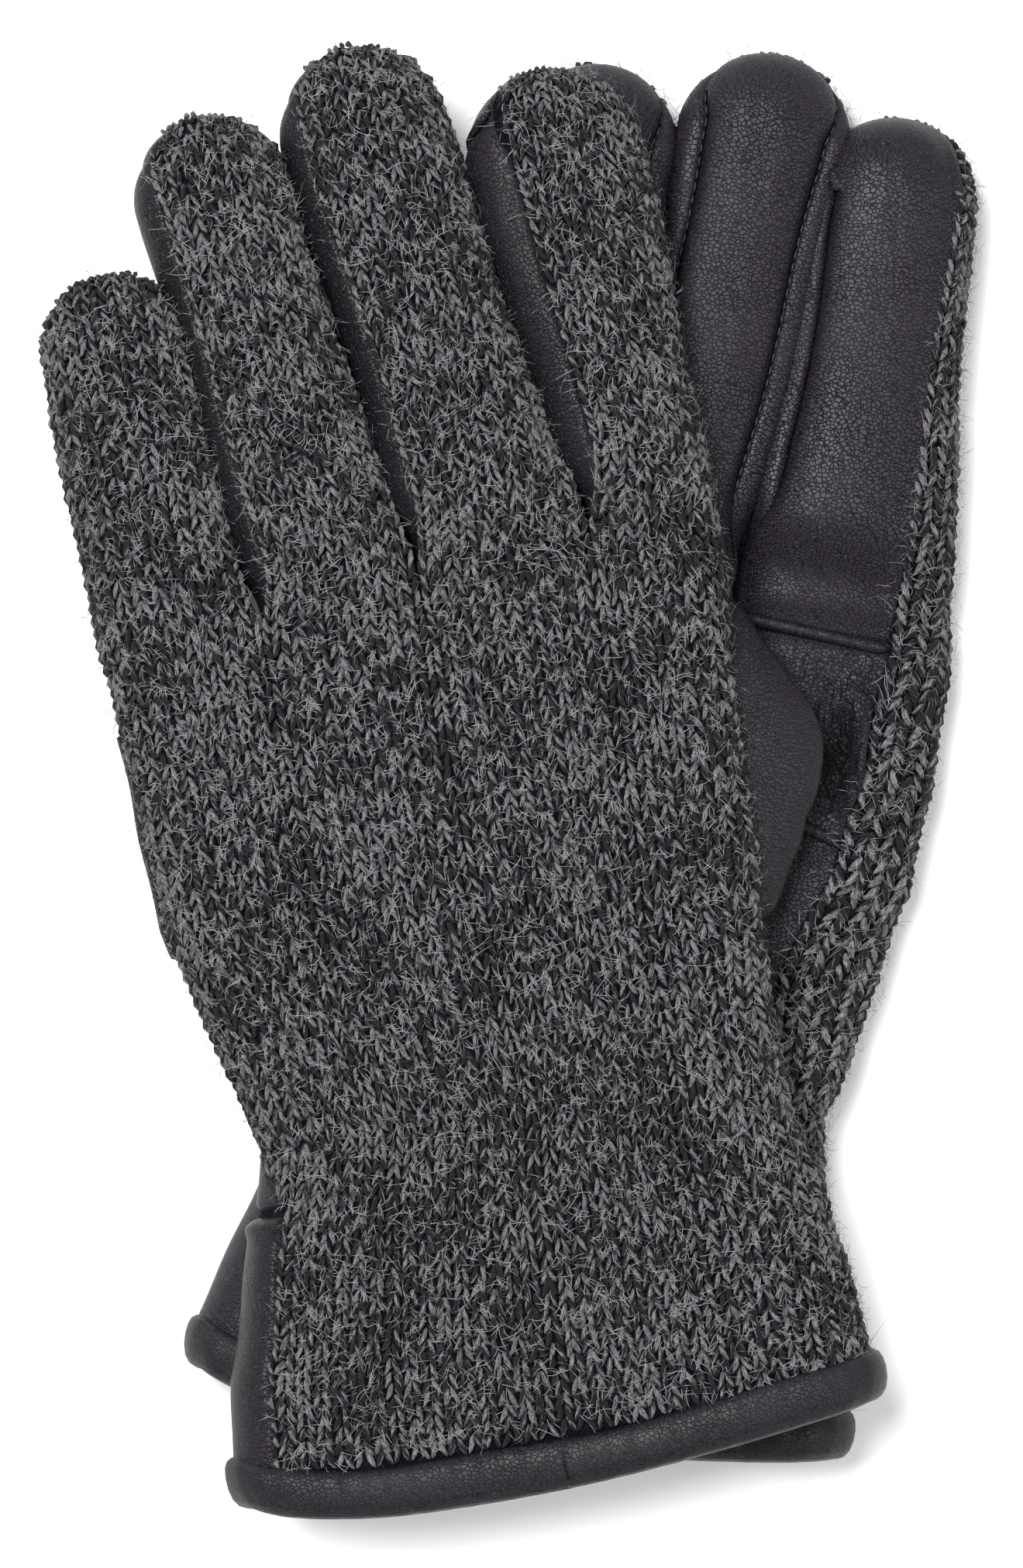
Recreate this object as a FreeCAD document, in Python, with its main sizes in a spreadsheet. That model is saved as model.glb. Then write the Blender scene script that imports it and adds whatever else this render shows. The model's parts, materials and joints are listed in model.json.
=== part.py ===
import FreeCAD, Part
import math
import os

import Sketcher
from FreeCAD import Placement, Rotation, Vector

# A pair of winter gloves lying flat, the left one on the right one.
#
# Each glove is made in its own frame: u runs across the hand towards the thumb, v runs from the
# cuff to the fingertips, and w is the height above the glove's knitted back.  The right glove
# lies on its back, palm up.  The left glove has the same plan, turned over on top of it.
# Each thumb is folded across its own palm, so the two thumbs lie between the two palms.

SHARED = {
    # thickness of the materials
    "knit": 2.2, "leather": 1.2, "lining": 1.0, "wall": 2.2,
    # height of the filled glove at its cuff, palm and fingers, and of the whole stack
    "cuff_rise": 15.0, "palm_rise": 10.5, "finger_rise": 15.0, "stack_rise": 32.9,
    # where the palm side steps down behind the cuff and up again to the fingers
    "wrist_low": 62.0, "wrist_high": 76.0, "knuckle_low": 150.0, "knuckle_high": 164.0,
    "far_end": 262.0, "near_end": 24.0, "half_span": 90.0,
    # binding round the hem
    "hem_half": 57.5, "hem_side_v": 0.5, "hem_mid_v": -5.0,
    "band_side_v": 9.2, "band_mid_v": 3.2, "cuff_half": 56.3,
    # leather panel of the cuff, which comes round the outer edge onto the back
    "panel_end_v": 50.0, "panel_edge_u": -45.5, "palm_start_v": 58.0,
    # patch that reinforces the heel of the palm
    "patch_low_v": 96.0, "patch_high_v": 137.0, "patch_edge_u": -29.5,
    "patch_wrap": 1.0, "patch_foot": 4.0,
    # elastic that gathers the back of the wrist
    "elastic_v": 56.0, "elastic_width": 8.0, "elastic_half": 32.0,
    # thumb
    "thumb_rise": 5.5, "thumb_clear": 0.3, "thumb_skin": 1.0, "thumb_lining_skin": 0.7,
    "thumb_reach": 44.0, "thumb_tip_r": 10.5, "thumb_droop": 12.0, "thumb_hole_inset": 3.5,
    "gusset_clear": 0.4, "gusset_keep": 8.0,
    # welts in the seams at the foot of the index finger and of the thumb
    "welt_r": 1.2,
}

# Finger: centre and radius of the round at its base, then at its tip.
LEFT = {
    "little": (-38.9, 140.0, 14.0, -41.0, 203.0, 12.0),
    "ring": (-10.4, 146.0, 13.9, -18.2, 226.4, 12.6),
    "middle": (19.0, 150.0, 14.4, 10.0, 232.4, 14.4),
    "index": (45.3, 150.0, 11.2, 40.4, 221.4, 14.2),
    "palm": ((-21.3, 62.0, 20.0), (34.0, 52.0, 18.0), (41.5, 140.0, 15.0),
             (-35.8, 133.0, 17.0), (-33.5, 104.0, 17.5)),
    "wrist": (-41.0, 61.0, 52.0, 50.0),
    "thumb": (38.0, 120.0, 14.0),
    "gusset": (50.0, 114.5, 17.5),
    "index_seam": (32.0, 143.0, 50.0, 141.0),
    "gusset_seam": (44.0, 97.0, 52.0, 94.0),
    "place": (7.57, -117.29, 10.6),
}
RIGHT = {
    "little": (-42.0, 138.0, 11.6, -44.0, 195.0, 10.8),
    "ring": (-17.8, 142.0, 12.0, -14.2, 222.4, 12.6),
    "middle": (6.8, 146.0, 12.0, 13.4, 227.0, 12.8),
    "index": (38.6, 140.0, 18.6, 40.6, 217.0, 14.0),
    "palm": ((-21.3, 62.0, 20.0), (29.0, 60.0, 18.5), (40.5, 118.0, 18.0),
             (41.0, 136.0, 17.0), (-36.0, 131.0, 17.0), (-33.5, 104.0, 17.5)),
    "wrist": (-41.0, 61.0, 47.0, 58.0),
    "thumb": (27.0, 123.0, 13.5),
    "gusset": (30.5, 122.5, 16.5),
    "index_seam": (27.0, 142.0, 46.5, 140.0),
    "gusset_seam": (33.0, 103.6, 42.5, 101.2),
    "place": (-0.13, -110.19, -7.4),
}
FINGERS = ("little", "ring", "middle", "index")
CIRCLE_CELLS = ("u", "v", "r")

doc = FreeCAD.newDocument("gloves")
sheet = doc.addObject("Spreadsheet::Sheet", "Sizes")
sub_parts = []


# ---------------------------------------------------------------- the sheet

def fill_sheet():
    """Write every driving dimension into the sheet, one named cell each."""
    cells = dict(SHARED)
    for side, glove in (("left", LEFT), ("right", RIGHT)):
        for finger in FINGERS:
            base_u, base_v, base_r, tip_u, tip_v, tip_r = glove[finger]
            cells.update(circle_cells(f"{side}_{finger}_base", (base_u, base_v, base_r)))
            cells.update(circle_cells(f"{side}_{finger}_tip", (tip_u, tip_v, tip_r)))
        for count, circle in enumerate(glove["palm"]):
            cells.update(circle_cells(f"{side}_palm_{count}x", circle))
        for name in ("thumb", "gusset"):
            cells.update(circle_cells(f"{side}_{name}", glove[name]))
        for name in ("index_seam", "gusset_seam"):
            for end, length in zip(("from_u", "from_v", "to_u", "to_v"), glove[name]):
                cells[f"{side}_{name}_{end}"] = length
        for name, length in zip(("outer_u", "outer_v", "inner_u", "inner_v"), glove["wrist"]):
            cells[f"{side}_wrist_{name}"] = length
        for name, amount in zip(("place_x", "place_y", "turn"), glove["place"]):
            cells[f"{side}_{name}"] = amount
    for row, (name, amount) in enumerate(cells.items(), start=1):
        sheet.set(f"A{row}", name)
        sheet.set(f"B{row}", str(amount))
        sheet.setAlias(f"B{row}", name)
    doc.recompute()


def circle_cells(stem, circle):
    return {f"{stem}_{letter}": amount for letter, amount in zip(CIRCLE_CELLS, circle)}


def cell(name):
    """Expression that reads one named cell."""
    return f"Sizes.{name}"


def value(expression):
    """Number that an expression on the sheet gives now."""
    return float(sheet.evalExpression(expression))


# ---------------------------------------------------------------- sketches and solids

def new_body(name, low="0"):
    """Body whose base plane stands at the height that the expression low gives."""
    body = doc.addObject("PartDesign::Body", name)
    body.setExpression("Placement.Base.z", low)
    return body


def new_sketch(body, name, plane="XY_Plane"):
    sketch = body.newObject("Sketcher::SketchObject", name)
    origin_plane = [item for item in body.Origin.OriginFeatures if item.Role == plane][0]
    sketch.AttachmentSupport = [(origin_plane, "")]
    sketch.MapMode = "FlatFace"
    return sketch


def bind(sketch, kind, geometry, position, expression):
    """Fix one coordinate of a point, or a radius, to an expression on the sheet."""
    if kind == "Radius":
        index = sketch.addConstraint(Sketcher.Constraint(kind, geometry, value(expression)))
    else:
        constraint = Sketcher.Constraint(kind, -1, 1, geometry, position, value(expression))
        index = sketch.addConstraint(constraint)
    sketch.setExpression(f"Constraints[{index}]", expression)


def round_hull(sketch, circles):
    """Closed outline that wraps circles, given as (u, v, r) expressions, anticlockwise."""
    rounds = [tuple(value(item) for item in circle) for circle in circles]
    count = len(rounds)
    normals = []
    for (x1, y1, r1), (x2, y2, r2) in zip(rounds, rounds[1:] + rounds[:1]):
        heading = math.atan2(y2 - y1, x2 - x1)
        normals.append(heading - math.acos((r1 - r2) / math.hypot(x2 - x1, y2 - y1)))
    for index, (x, y, r) in enumerate(rounds):
        start, end = normals[index - 1], normals[index]
        while end < start:
            end += 2 * math.pi
        circle = Part.Circle(Vector(x, y, 0), Vector(0, 0, 1), r)
        sketch.addGeometry(Part.ArcOfCircle(circle, start, end))
    for index, (x, y, r) in enumerate(rounds):
        x2, y2, r2 = rounds[(index + 1) % count]
        out = Vector(math.cos(normals[index]), math.sin(normals[index]), 0)
        leaves, meets = Vector(x, y, 0) + out * r, Vector(x2, y2, 0) + out * r2
        sketch.addGeometry(Part.LineSegment(leaves, meets))
    for index in range(count):
        after = (index + 1) % count
        sketch.addConstraint(Sketcher.Constraint("Tangent", index, 2, count + index, 1))
        sketch.addConstraint(Sketcher.Constraint("Tangent", count + index, 2, after, 1))
    for index, (x, y, r) in enumerate(circles):
        bind(sketch, "DistanceX", index, 3, x)
        bind(sketch, "DistanceY", index, 3, y)
        bind(sketch, "Radius", index, 3, r)


def outline(sketch, corners, bows=None):
    """Closed outline through corners; bows gives, for a corner, the point its arc passes through."""
    bows = bows or {}
    points = [Vector(value(x), value(y), 0) for x, y in corners]
    count = len(points)
    for index, point in enumerate(points):
        after = points[(index + 1) % count]
        if index in bows:
            x, y = bows[index]
            arc = Part.Arc(point, Vector(value(x), value(y), 0), after)
            sketch.addGeometry(arc)
        else:
            sketch.addGeometry(Part.LineSegment(point, after))
    for index in range(count):
        # an arc always runs anticlockwise, so its first end may be the corner that it was drawn to
        first = start_position(sketch, index, points[index])
        before = (index - 1) % count
        last = 3 - start_position(sketch, before, points[before])
        sketch.addConstraint(Sketcher.Constraint("Coincident", before, last, index, first))
        bind(sketch, "DistanceX", index, first, corners[index][0])
        bind(sketch, "DistanceY", index, first, corners[index][1])
    for index, (x, y) in bows.items():
        mark = sketch.addGeometry(Part.Point(Vector(value(x), value(y), 0)), True)
        sketch.addConstraint(Sketcher.Constraint("PointOnObject", mark, 1, index))
        bind(sketch, "DistanceX", mark, 1, x)
        bind(sketch, "DistanceY", mark, 1, y)


def start_position(sketch, index, point):
    """Which end of a segment, 1 or 2, lies on the point it was drawn from."""
    first, second = (sketch.getPoint(index, end).distanceToPoint(point) for end in (1, 2))
    return 1 if first < second else 2


def pad(body, sketch, length, symmetric=False):
    feature = body.newObject("PartDesign::Pad", sketch.Name + "_pad")
    feature.Profile = sketch
    feature.Midplane = symmetric
    feature.setExpression("Length", length)
    return feature


def boolean(kind, name, first, *others):
    """Part::Cut, Part::MultiFuse or Part::MultiCommon of finished objects."""
    if kind == "Cut":
        tool = others[0]
        if len(others) > 1:
            tool = boolean("MultiFuse", name + "_tools", *others)
        feature = doc.addObject("Part::Cut", name)
        feature.Base, feature.Tool = first, tool
    else:
        feature = doc.addObject("Part::" + kind, name)
        feature.Shapes = [first, *others]
    return feature


def block(name, low, high):
    """Part::Box between two corners, each three expressions."""
    box = doc.addObject("Part::Box", name)
    for axis, size_name, low_text, high_text in zip("xyz", ("Length", "Width", "Height"), low, high):
        box.setExpression(f"Placement.Base.{axis}", low_text)
        box.setExpression(size_name, f"({high_text}) - ({low_text})")
    return box


def disc(name, circle, low, high):
    """Part::Cylinder between two heights."""
    cylinder = doc.addObject("Part::Cylinder", name)
    for axis, text in zip("xyz", (circle[0], circle[1], low)):
        cylinder.setExpression(f"Placement.Base.{axis}", text)
    cylinder.setExpression("Radius", circle[2])
    cylinder.setExpression("Height", f"({high}) - ({low})")
    return cylinder


# ---------------------------------------------------------------- one glove

class Glove:
    """Every piece of one glove, made palm up in the glove's own frame."""

    def __init__(self, side, measures):
        self.side = side
        self.measures = measures

    def name(self, piece):
        return f"{self.side}_{piece}"

    def own(self, name):
        return cell(f"{self.side}_{name}")

    def circle(self, stem, inset="0"):
        u, v, r = (self.own(f"{stem}_{item}") for item in CIRCLE_CELLS)
        return u, v, f"{r} - ({inset})"

    def finish(self, piece, shape):
        """Turn a finished piece over if it is the left glove's, place it and list it."""
        if self.side == "left":
            turned = doc.addObject("Part::Mirroring", self.name(piece) + "_turned")
            turned.Source = shape
            turned.Normal = Vector(0, 0, 1)
            turned.setExpression("Base.z", cell("stack_rise") + " / 2")
            shape = turned
        shape.Placement = Placement(Vector(), Rotation(Vector(0, 0, 1), 1))
        shape.setExpression("Placement.Base.x", self.own("place_x"))
        shape.setExpression("Placement.Base.y", self.own("place_y"))
        shape.setExpression("Placement.Rotation.Angle", self.own("turn"))
        shape.Label = self.name(piece)
        sub_parts.append(shape)

    # -------- solids that several pieces are cut from

    def hand(self, name, inset, low, high, through=False):
        """Prism of the whole hand, its outline moved in by inset; through leaves the cuff open."""
        body = new_body(self.name(name), low)
        length = f"({high}) - ({low})"
        palm = new_sketch(body, self.name(name) + "_palm")
        count = len(self.measures["palm"])
        round_hull(palm, [self.circle(f"palm_{number}x", inset) for number in range(count)])
        pad(body, palm, length)
        for finger in FINGERS:
            sketch = new_sketch(body, f"{self.name(name)}_{finger}")
            ends = [self.circle(f"{finger}_base", inset), self.circle(f"{finger}_tip", inset)]
            round_hull(sketch, ends)
            pad(body, sketch, length)
        cuff = new_sketch(body, self.name(name) + "_cuff")
        self.cuff_outline(cuff, inset, through)
        pad(body, cuff, length)
        return body

    def cuff_outline(self, sketch, inset, through):
        half = f"{cell('cuff_half')} - ({inset})"
        outer = (f"{self.own('wrist_outer_u')} + ({inset})", self.own("wrist_outer_v"))
        inner = (f"{self.own('wrist_inner_u')} - ({inset})", self.own("wrist_inner_v"))
        left, right = (f"-({half})", cell("band_side_v")), (half, cell("band_side_v"))
        if through:
            foot = f"-{cell('near_end')}"
            outline(sketch, [left, (left[0], foot), (half, foot), right, inner, outer])
        else:
            outline(sketch, [left, right, inner, outer], {0: ("0", cell("band_mid_v"))})

    def slab(self, name, depth):
        """Everything that lies deeper than depth below the palm side."""
        body = new_body(self.name(name))
        sketch = new_sketch(body, self.name(name) + "_profile", "YZ_Plane")
        rises = ("cuff_rise", "palm_rise", "finger_rise")
        cuff, palm, finger = (f"{cell(rise)} - ({depth})" for rise in rises)
        near, far = f"-{cell('near_end')} * 2", cell("far_end")
        outline(sketch, [(near, "0"), (far, "0"), (far, finger), (cell("knuckle_high"), finger),
                         (cell("knuckle_low"), palm), (cell("wrist_high"), palm),
                         (cell("wrist_low"), cuff), (near, cuff)])
        pad(body, sketch, cell("half_span") + " * 2", symmetric=True)
        return body

    def between(self, first, second):
        """Prism between two fingers' centre lines."""
        name = self.name(f"between_{first}_{second}")
        body = new_body(name, cell("knit"))
        sketch = new_sketch(body, name + "_outline")
        stems = (f"{first}_base", f"{second}_base", f"{second}_tip", f"{first}_tip")
        outline(sketch, [(self.own(stem + "_u"), self.own(stem + "_v")) for stem in stems])
        pad(body, sketch, cell("finger_rise"))
        return body

    def cross_block(self, name, near, far):
        """Block right across the glove, from one v to another."""
        half = cell("half_span")
        return block(self.name(name), (f"-{half}", near, "-1"), (half, far, cell("far_end")))

    def make(self):
        deep = f"{cell('finger_rise')} + 5"
        knit, wall, lining = cell("knit"), cell("wall"), cell("lining")
        self.outer = self.hand("outer", "0", "0", deep)
        self.inner = self.hand("inner", wall, knit, deep, through=True)
        self.cavity = self.hand("cavity", f"{wall} + {lining}", f"{knit} + {lining}", deep, through=True)
        self.under_skin = self.slab("under_skin", "0")
        self.under_leather = self.slab("under_leather", cell("leather"))
        self.under_lining = self.slab("under_lining", f"{cell('leather')} + {lining}")
        self.hollow = boolean("MultiCommon", self.name("hollow"), self.cavity, self.under_lining)
        self.stuffing = boolean("MultiCommon", self.name("stuffing"), self.inner, self.under_leather)
        self.filled = boolean("MultiCommon", self.name("filled"), self.outer, self.under_skin)
        self.skin = boolean("Cut", self.name("skin"), self.filled, self.stuffing)
        self.thumb_hole = disc(self.name("thumb_hole"), self.circle("thumb", cell("thumb_hole_inset")),
                               f"{cell('palm_rise')} - 4", cell("finger_rise"))
        self.hem_zone = self.cross_block("hem_zone", f"-{cell('near_end')} * 2", cell("band_side_v"))
        self.cuff_zone = self.cross_block("cuff_zone", f"-{cell('near_end')} * 2", cell("palm_start_v"))
        self.make_back_and_sides()
        self.make_palm()
        self.make_linings()
        self.make_cuff_binding()
        self.make_thumb()

    # -------- pieces

    def make_back_and_sides(self):
        """Knitted back with its side walls, the cuff's leather panel and the leather between fingers."""
        gaps = [self.between(first, second) for first, second in zip(FINGERS, FINGERS[1:])]
        palm_sheet = boolean("Cut", self.name("palm_sheet"), self.under_skin, self.under_leather)
        self.palm_face = boolean("MultiCommon", self.name("palm_face"), self.inner, palm_sheet)
        panel_edge = block(self.name("panel_edge"),
                           (f"-{cell('half_span')}", f"-{cell('near_end')}", "-1"),
                           (cell("panel_edge_u"), cell("panel_end_v"), cell("far_end")))
        knit_back = boolean("Cut", self.name("knit_back_cut"), self.skin, self.palm_face, panel_edge, *gaps)
        self.finish("knit_back", knit_back)
        side_panel = boolean("MultiCommon", self.name("panel_side"), self.skin, panel_edge)
        palm_panel = boolean("MultiCommon", self.name("panel_palm"), self.palm_face, self.cuff_zone)
        palm_panel = boolean("Cut", self.name("panel_palm_cut"), palm_panel, self.hem_zone)
        self.finish("cuff_panel", boolean("MultiFuse", self.name("panel_whole"), side_panel, palm_panel))
        walls = boolean("Cut", self.name("walls"), self.skin, self.palm_face)
        for first, second, gap in zip(FINGERS, FINGERS[1:], gaps):
            piece = f"fourchette_{first}_{second}"
            self.finish(piece, boolean("MultiCommon", self.name(piece + "_cut"), walls, gap))

    def make_palm(self):
        """Leather palm, separate front of the index finger, patch and the welts in their seams."""
        index_body = new_body(self.name("index_column"))
        sketch = new_sketch(index_body, self.name("index_column_outline"))
        round_hull(sketch, [self.circle("index_base"), self.circle("index_tip")])
        pad(index_body, sketch, cell("far_end"))
        above_seam = block(self.name("above_seam"), ("0", self.own("index_seam_from_v"), "0"),
                           (cell("half_span"), cell("far_end"), cell("far_end")))
        index_zone = boolean("MultiCommon", self.name("index_zone"), index_body, above_seam)
        self.finish("index_front",
                    boolean("MultiCommon", self.name("index_front_cut"), self.palm_face, index_zone))
        palm = boolean("Cut", self.name("palm_cut"), self.palm_face, self.cuff_zone, index_zone,
                       self.thumb_hole)
        self.finish("leather_palm", palm)
        self.make_patch()
        self.make_welt("index_welt", "index_seam")
        self.make_welt("gusset_welt", "gusset_seam")

    def make_patch(self):
        """Second layer of leather on the heel of the palm, wrapped round the hand's outer edge."""
        wrap = cell("patch_wrap")
        wide = self.hand("patch_plan", f"-{wrap}", cell("patch_foot"), f"{cell('palm_rise')} + {wrap}")
        zone = block(self.name("patch_zone"), (f"-{cell('half_span')}", cell("patch_low_v"), "0"),
                     (cell("patch_edge_u"), cell("patch_high_v"), cell("far_end")))
        block_of_leather = boolean("MultiCommon", self.name("patch_block"), wide, zone)
        self.finish("palm_patch",
                    boolean("Cut", self.name("patch_cut"), block_of_leather, self.filled))

    def make_welt(self, piece, seam):
        """Raised cord of leather that runs along a seam of the palm."""
        ends = ("from_u", "from_v", "to_u", "to_v")
        from_u, from_v, to_u, to_v = (self.own(f"{seam}_{end}") for end in ends)
        radius = cell("welt_r")
        body = new_body(self.name(piece + "_bar"), cell("palm_rise"))
        sketch = new_sketch(body, self.name(piece + "_outline"))
        round_hull(sketch, [(from_u, from_v, radius), (to_u, to_v, radius)])
        pad(body, sketch, radius)
        self.finish(piece, body)

    def make_linings(self):
        """Fleece lining, with the wrist elastic sewn into its back."""
        whole = boolean("Cut", self.name("lining_whole"), self.stuffing, self.hollow, self.thumb_hole,
                        self.hem_zone)
        half = cell("elastic_half")
        strip = block(self.name("elastic_strip"), (f"-{half}", cell("elastic_v"), "0"),
                      (half, f"{cell('elastic_v')} + {cell('elastic_width')}",
                       f"{cell('knit')} + {cell('lining')} + 0.5"))
        self.finish("hand_lining", boolean("Cut", self.name("lining_cut"), whole, strip))
        self.finish("wrist_elastic", boolean("MultiCommon", self.name("elastic_cut"), whole, strip))

    def make_cuff_binding(self):
        """Leather band folded over the hem, open in the middle where the hand goes in."""
        body = new_body(self.name("binding_plan"))
        sketch = new_sketch(body, self.name("binding_outline"))
        half, side, mid = cell("hem_half"), cell("hem_side_v"), cell("hem_mid_v")
        outline(sketch, [(f"-{half}", side), (half, side), (half, cell("band_side_v")),
                         (f"-{half}", cell("band_side_v"))],
                {0: ("0", mid), 2: ("0", cell("band_mid_v"))})
        pad(body, sketch, cell("cuff_rise"))
        self.finish("cuff_binding", boolean("Cut", self.name("binding_cut"), body, self.hollow))

    def make_thumb(self):
        """Thumb folded over the palm, in two leather halves with a lining, and its gusset."""
        base, clear, skin = self.circle("thumb"), cell("thumb_clear"), cell("thumb_skin")
        low = f"{cell('palm_rise')} + {clear}"
        rise, liner = cell("thumb_rise"), cell("thumb_lining_skin")
        front = self.thumb_prism("thumb_low", "0", low, f"{rise} / 2")
        back = self.thumb_prism("thumb_high", "0", f"{low} + {rise} / 2", f"{rise} / 2")
        room = self.thumb_prism("thumb_room", skin, f"{low} + {skin}", f"{rise} - 2 * {skin}")
        deep = f"{skin} + {liner}"
        bore = self.thumb_prism("thumb_bore", deep, f"{low} + {deep}", f"{rise} - 2 * ({deep})")
        mouth = disc(self.name("thumb_mouth"), self.circle("thumb", cell("thumb_hole_inset")),
                     cell("palm_rise"), f"{low} + {rise} / 2")
        self.finish("thumb_front", boolean("Cut", self.name("thumb_front_cut"), front, room, mouth))
        self.finish("thumb_back", boolean("Cut", self.name("thumb_back_cut"), back, room))
        self.finish("thumb_lining", boolean("Cut", self.name("thumb_lining_cut"), room, bore, mouth))
        gusset = disc(self.name("gusset_plan"), self.circle("gusset"), cell("palm_rise"), f"{low} + {rise}")
        seat = disc(self.name("gusset_seat"), self.circle("thumb", f"-{cell('gusset_clear')}"),
                    "0", cell("far_end"))
        behind = block(self.name("gusset_behind"), (f"-{cell('half_span')}", "0", "0"),
                       (f"{base[0]} + {cell('gusset_keep')}", cell("far_end"), cell("far_end")))
        self.finish("thumb_gusset", boolean("Cut", self.name("gusset_cut"), gusset, seat, behind))

    def thumb_prism(self, name, inset, low, length):
        """Tapered, round-ended prism of the thumb, its outline moved in by inset."""
        body = new_body(self.name(name), low)
        sketch = new_sketch(body, self.name(name) + "_outline")
        u, v, r = self.circle("thumb", inset)
        reach, droop = cell("thumb_reach"), f"{cell('thumb_droop')} * 1deg"
        tip = (f"{u} - {reach} * cos({droop})", f"{v} - {reach} * sin({droop})",
               f"{cell('thumb_tip_r')} - ({inset})")
        round_hull(sketch, [(u, v, r), tip])
        pad(body, sketch, length)
        return body


# ---------------------------------------------------------------- the pair

def check(item):
    bad = [word for word in ("Invalid", "Error") if word in item.State]
    if bad:
        raise RuntimeError(f"{item.Name} is {bad}")


def main():
    fill_sheet()
    for side, measures in (("right", RIGHT), ("left", LEFT)):
        Glove(side, measures).make()
    doc.recompute()
    for item in doc.Objects:
        check(item)
    for item in sub_parts:
        if item.Shape.isNull() or not item.Shape.isValid() or not item.Shape.Solids:
            raise RuntimeError(f"{item.Label} has no valid solid")
    os.makedirs("parts", exist_ok=True)
    whole = FreeCAD.BoundBox()
    for item in sub_parts:
        item.Shape.exportStep(f"parts/{item.Label}.step")
        whole.add(item.Shape.BoundBox)
        print(f"{item.Label:32s} {item.Shape.Volume:10.1f} mm3  {len(item.Shape.Solids)} solid(s)")
    print("box", whole)


main()
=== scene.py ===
# %% [markdown]
# # A pair of knitted and leather gloves
# The left glove lies on the right one.  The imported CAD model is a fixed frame: it says where each
# glove, thumb and hem is.  The script dresses that frame in knitting, leather and thread.

# %% Load the frame and keep its size
import json
import math

import bpy
import numpy as np
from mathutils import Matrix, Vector


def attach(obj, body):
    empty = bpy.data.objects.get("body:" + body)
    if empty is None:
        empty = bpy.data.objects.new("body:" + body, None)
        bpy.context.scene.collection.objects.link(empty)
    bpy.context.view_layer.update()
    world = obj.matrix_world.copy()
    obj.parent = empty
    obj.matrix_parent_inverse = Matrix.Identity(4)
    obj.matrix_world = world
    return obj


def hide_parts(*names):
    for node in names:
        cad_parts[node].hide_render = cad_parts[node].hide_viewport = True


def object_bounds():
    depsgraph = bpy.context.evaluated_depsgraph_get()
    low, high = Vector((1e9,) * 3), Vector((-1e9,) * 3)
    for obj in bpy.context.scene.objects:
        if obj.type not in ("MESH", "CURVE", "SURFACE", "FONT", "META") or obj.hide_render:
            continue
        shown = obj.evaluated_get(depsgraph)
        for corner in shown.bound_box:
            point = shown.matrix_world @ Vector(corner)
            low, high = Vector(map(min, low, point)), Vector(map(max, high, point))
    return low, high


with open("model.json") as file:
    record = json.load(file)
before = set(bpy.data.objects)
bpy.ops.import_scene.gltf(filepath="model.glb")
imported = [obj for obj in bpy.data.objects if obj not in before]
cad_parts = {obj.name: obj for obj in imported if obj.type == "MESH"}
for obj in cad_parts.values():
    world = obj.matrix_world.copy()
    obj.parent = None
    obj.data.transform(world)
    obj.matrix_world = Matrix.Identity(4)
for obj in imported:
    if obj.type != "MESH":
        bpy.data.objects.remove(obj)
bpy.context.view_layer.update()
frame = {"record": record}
record = frame["record"]
MM = 0.001

# %% [markdown]
# ## One frame for each glove
# Every glove is shaped flat, in its own plan: u runs across the hand towards the thumb, v runs from
# the hem to the fingertips, and the third number is the depth below the knitted back.  The right
# glove lies on its back, so its depth is its height.  The left glove is turned over on top of it.
# The cuff openings in the record say where each plan lies.

# %% Plans
STACK = 32.9                     # height of the pair, in mm
HEM_DIP = -5.0                   # v of the middle of the hem, where the record puts the opening


class Plan:
    """Turns plan coordinates in mm into points of the shared frame in metres."""

    def __init__(self, side):
        self.side = side
        self.turned = side == "left"
        opening = next(m for m in record["mounts"] if m["name"] == side + "_cuff_opening")
        up = -np.array(opening["axis"][:2])
        self.up = up / np.linalg.norm(up)
        self.across = np.array([self.up[1], -self.up[0]])
        self.origin = np.array(opening["pos_m"][:2]) - self.up * HEM_DIP * MM

    def place(self, points):
        """points is an array whose last axis holds u, v and the depth below the back, in mm."""
        points = np.asarray(points, float) * MM
        flat = self.origin + points[..., :1] * self.across + points[..., 1:2] * self.up
        depth = points[..., 2:3]
        return np.concatenate([flat, STACK * MM - depth if self.turned else depth], axis=-1)


plans = {side: Plan(side) for side in ("left", "right")}
for plan in plans.values():
    print(plan.side, "plan starts at", np.round(plan.origin, 4))

# %% [markdown]
# ## Measures of the hand
# Few points shape each outline: the two edges of the hand, as (v, u), and for each finger the
# middle of its root and of its tip with the half width there.  reach says how far the knitted back
# comes down each side of a finger, as a share of the way from the middle of its back to its side:
# 1 is the side itself, and where a finger is rolled a little, more leather shows on one side.

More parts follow.
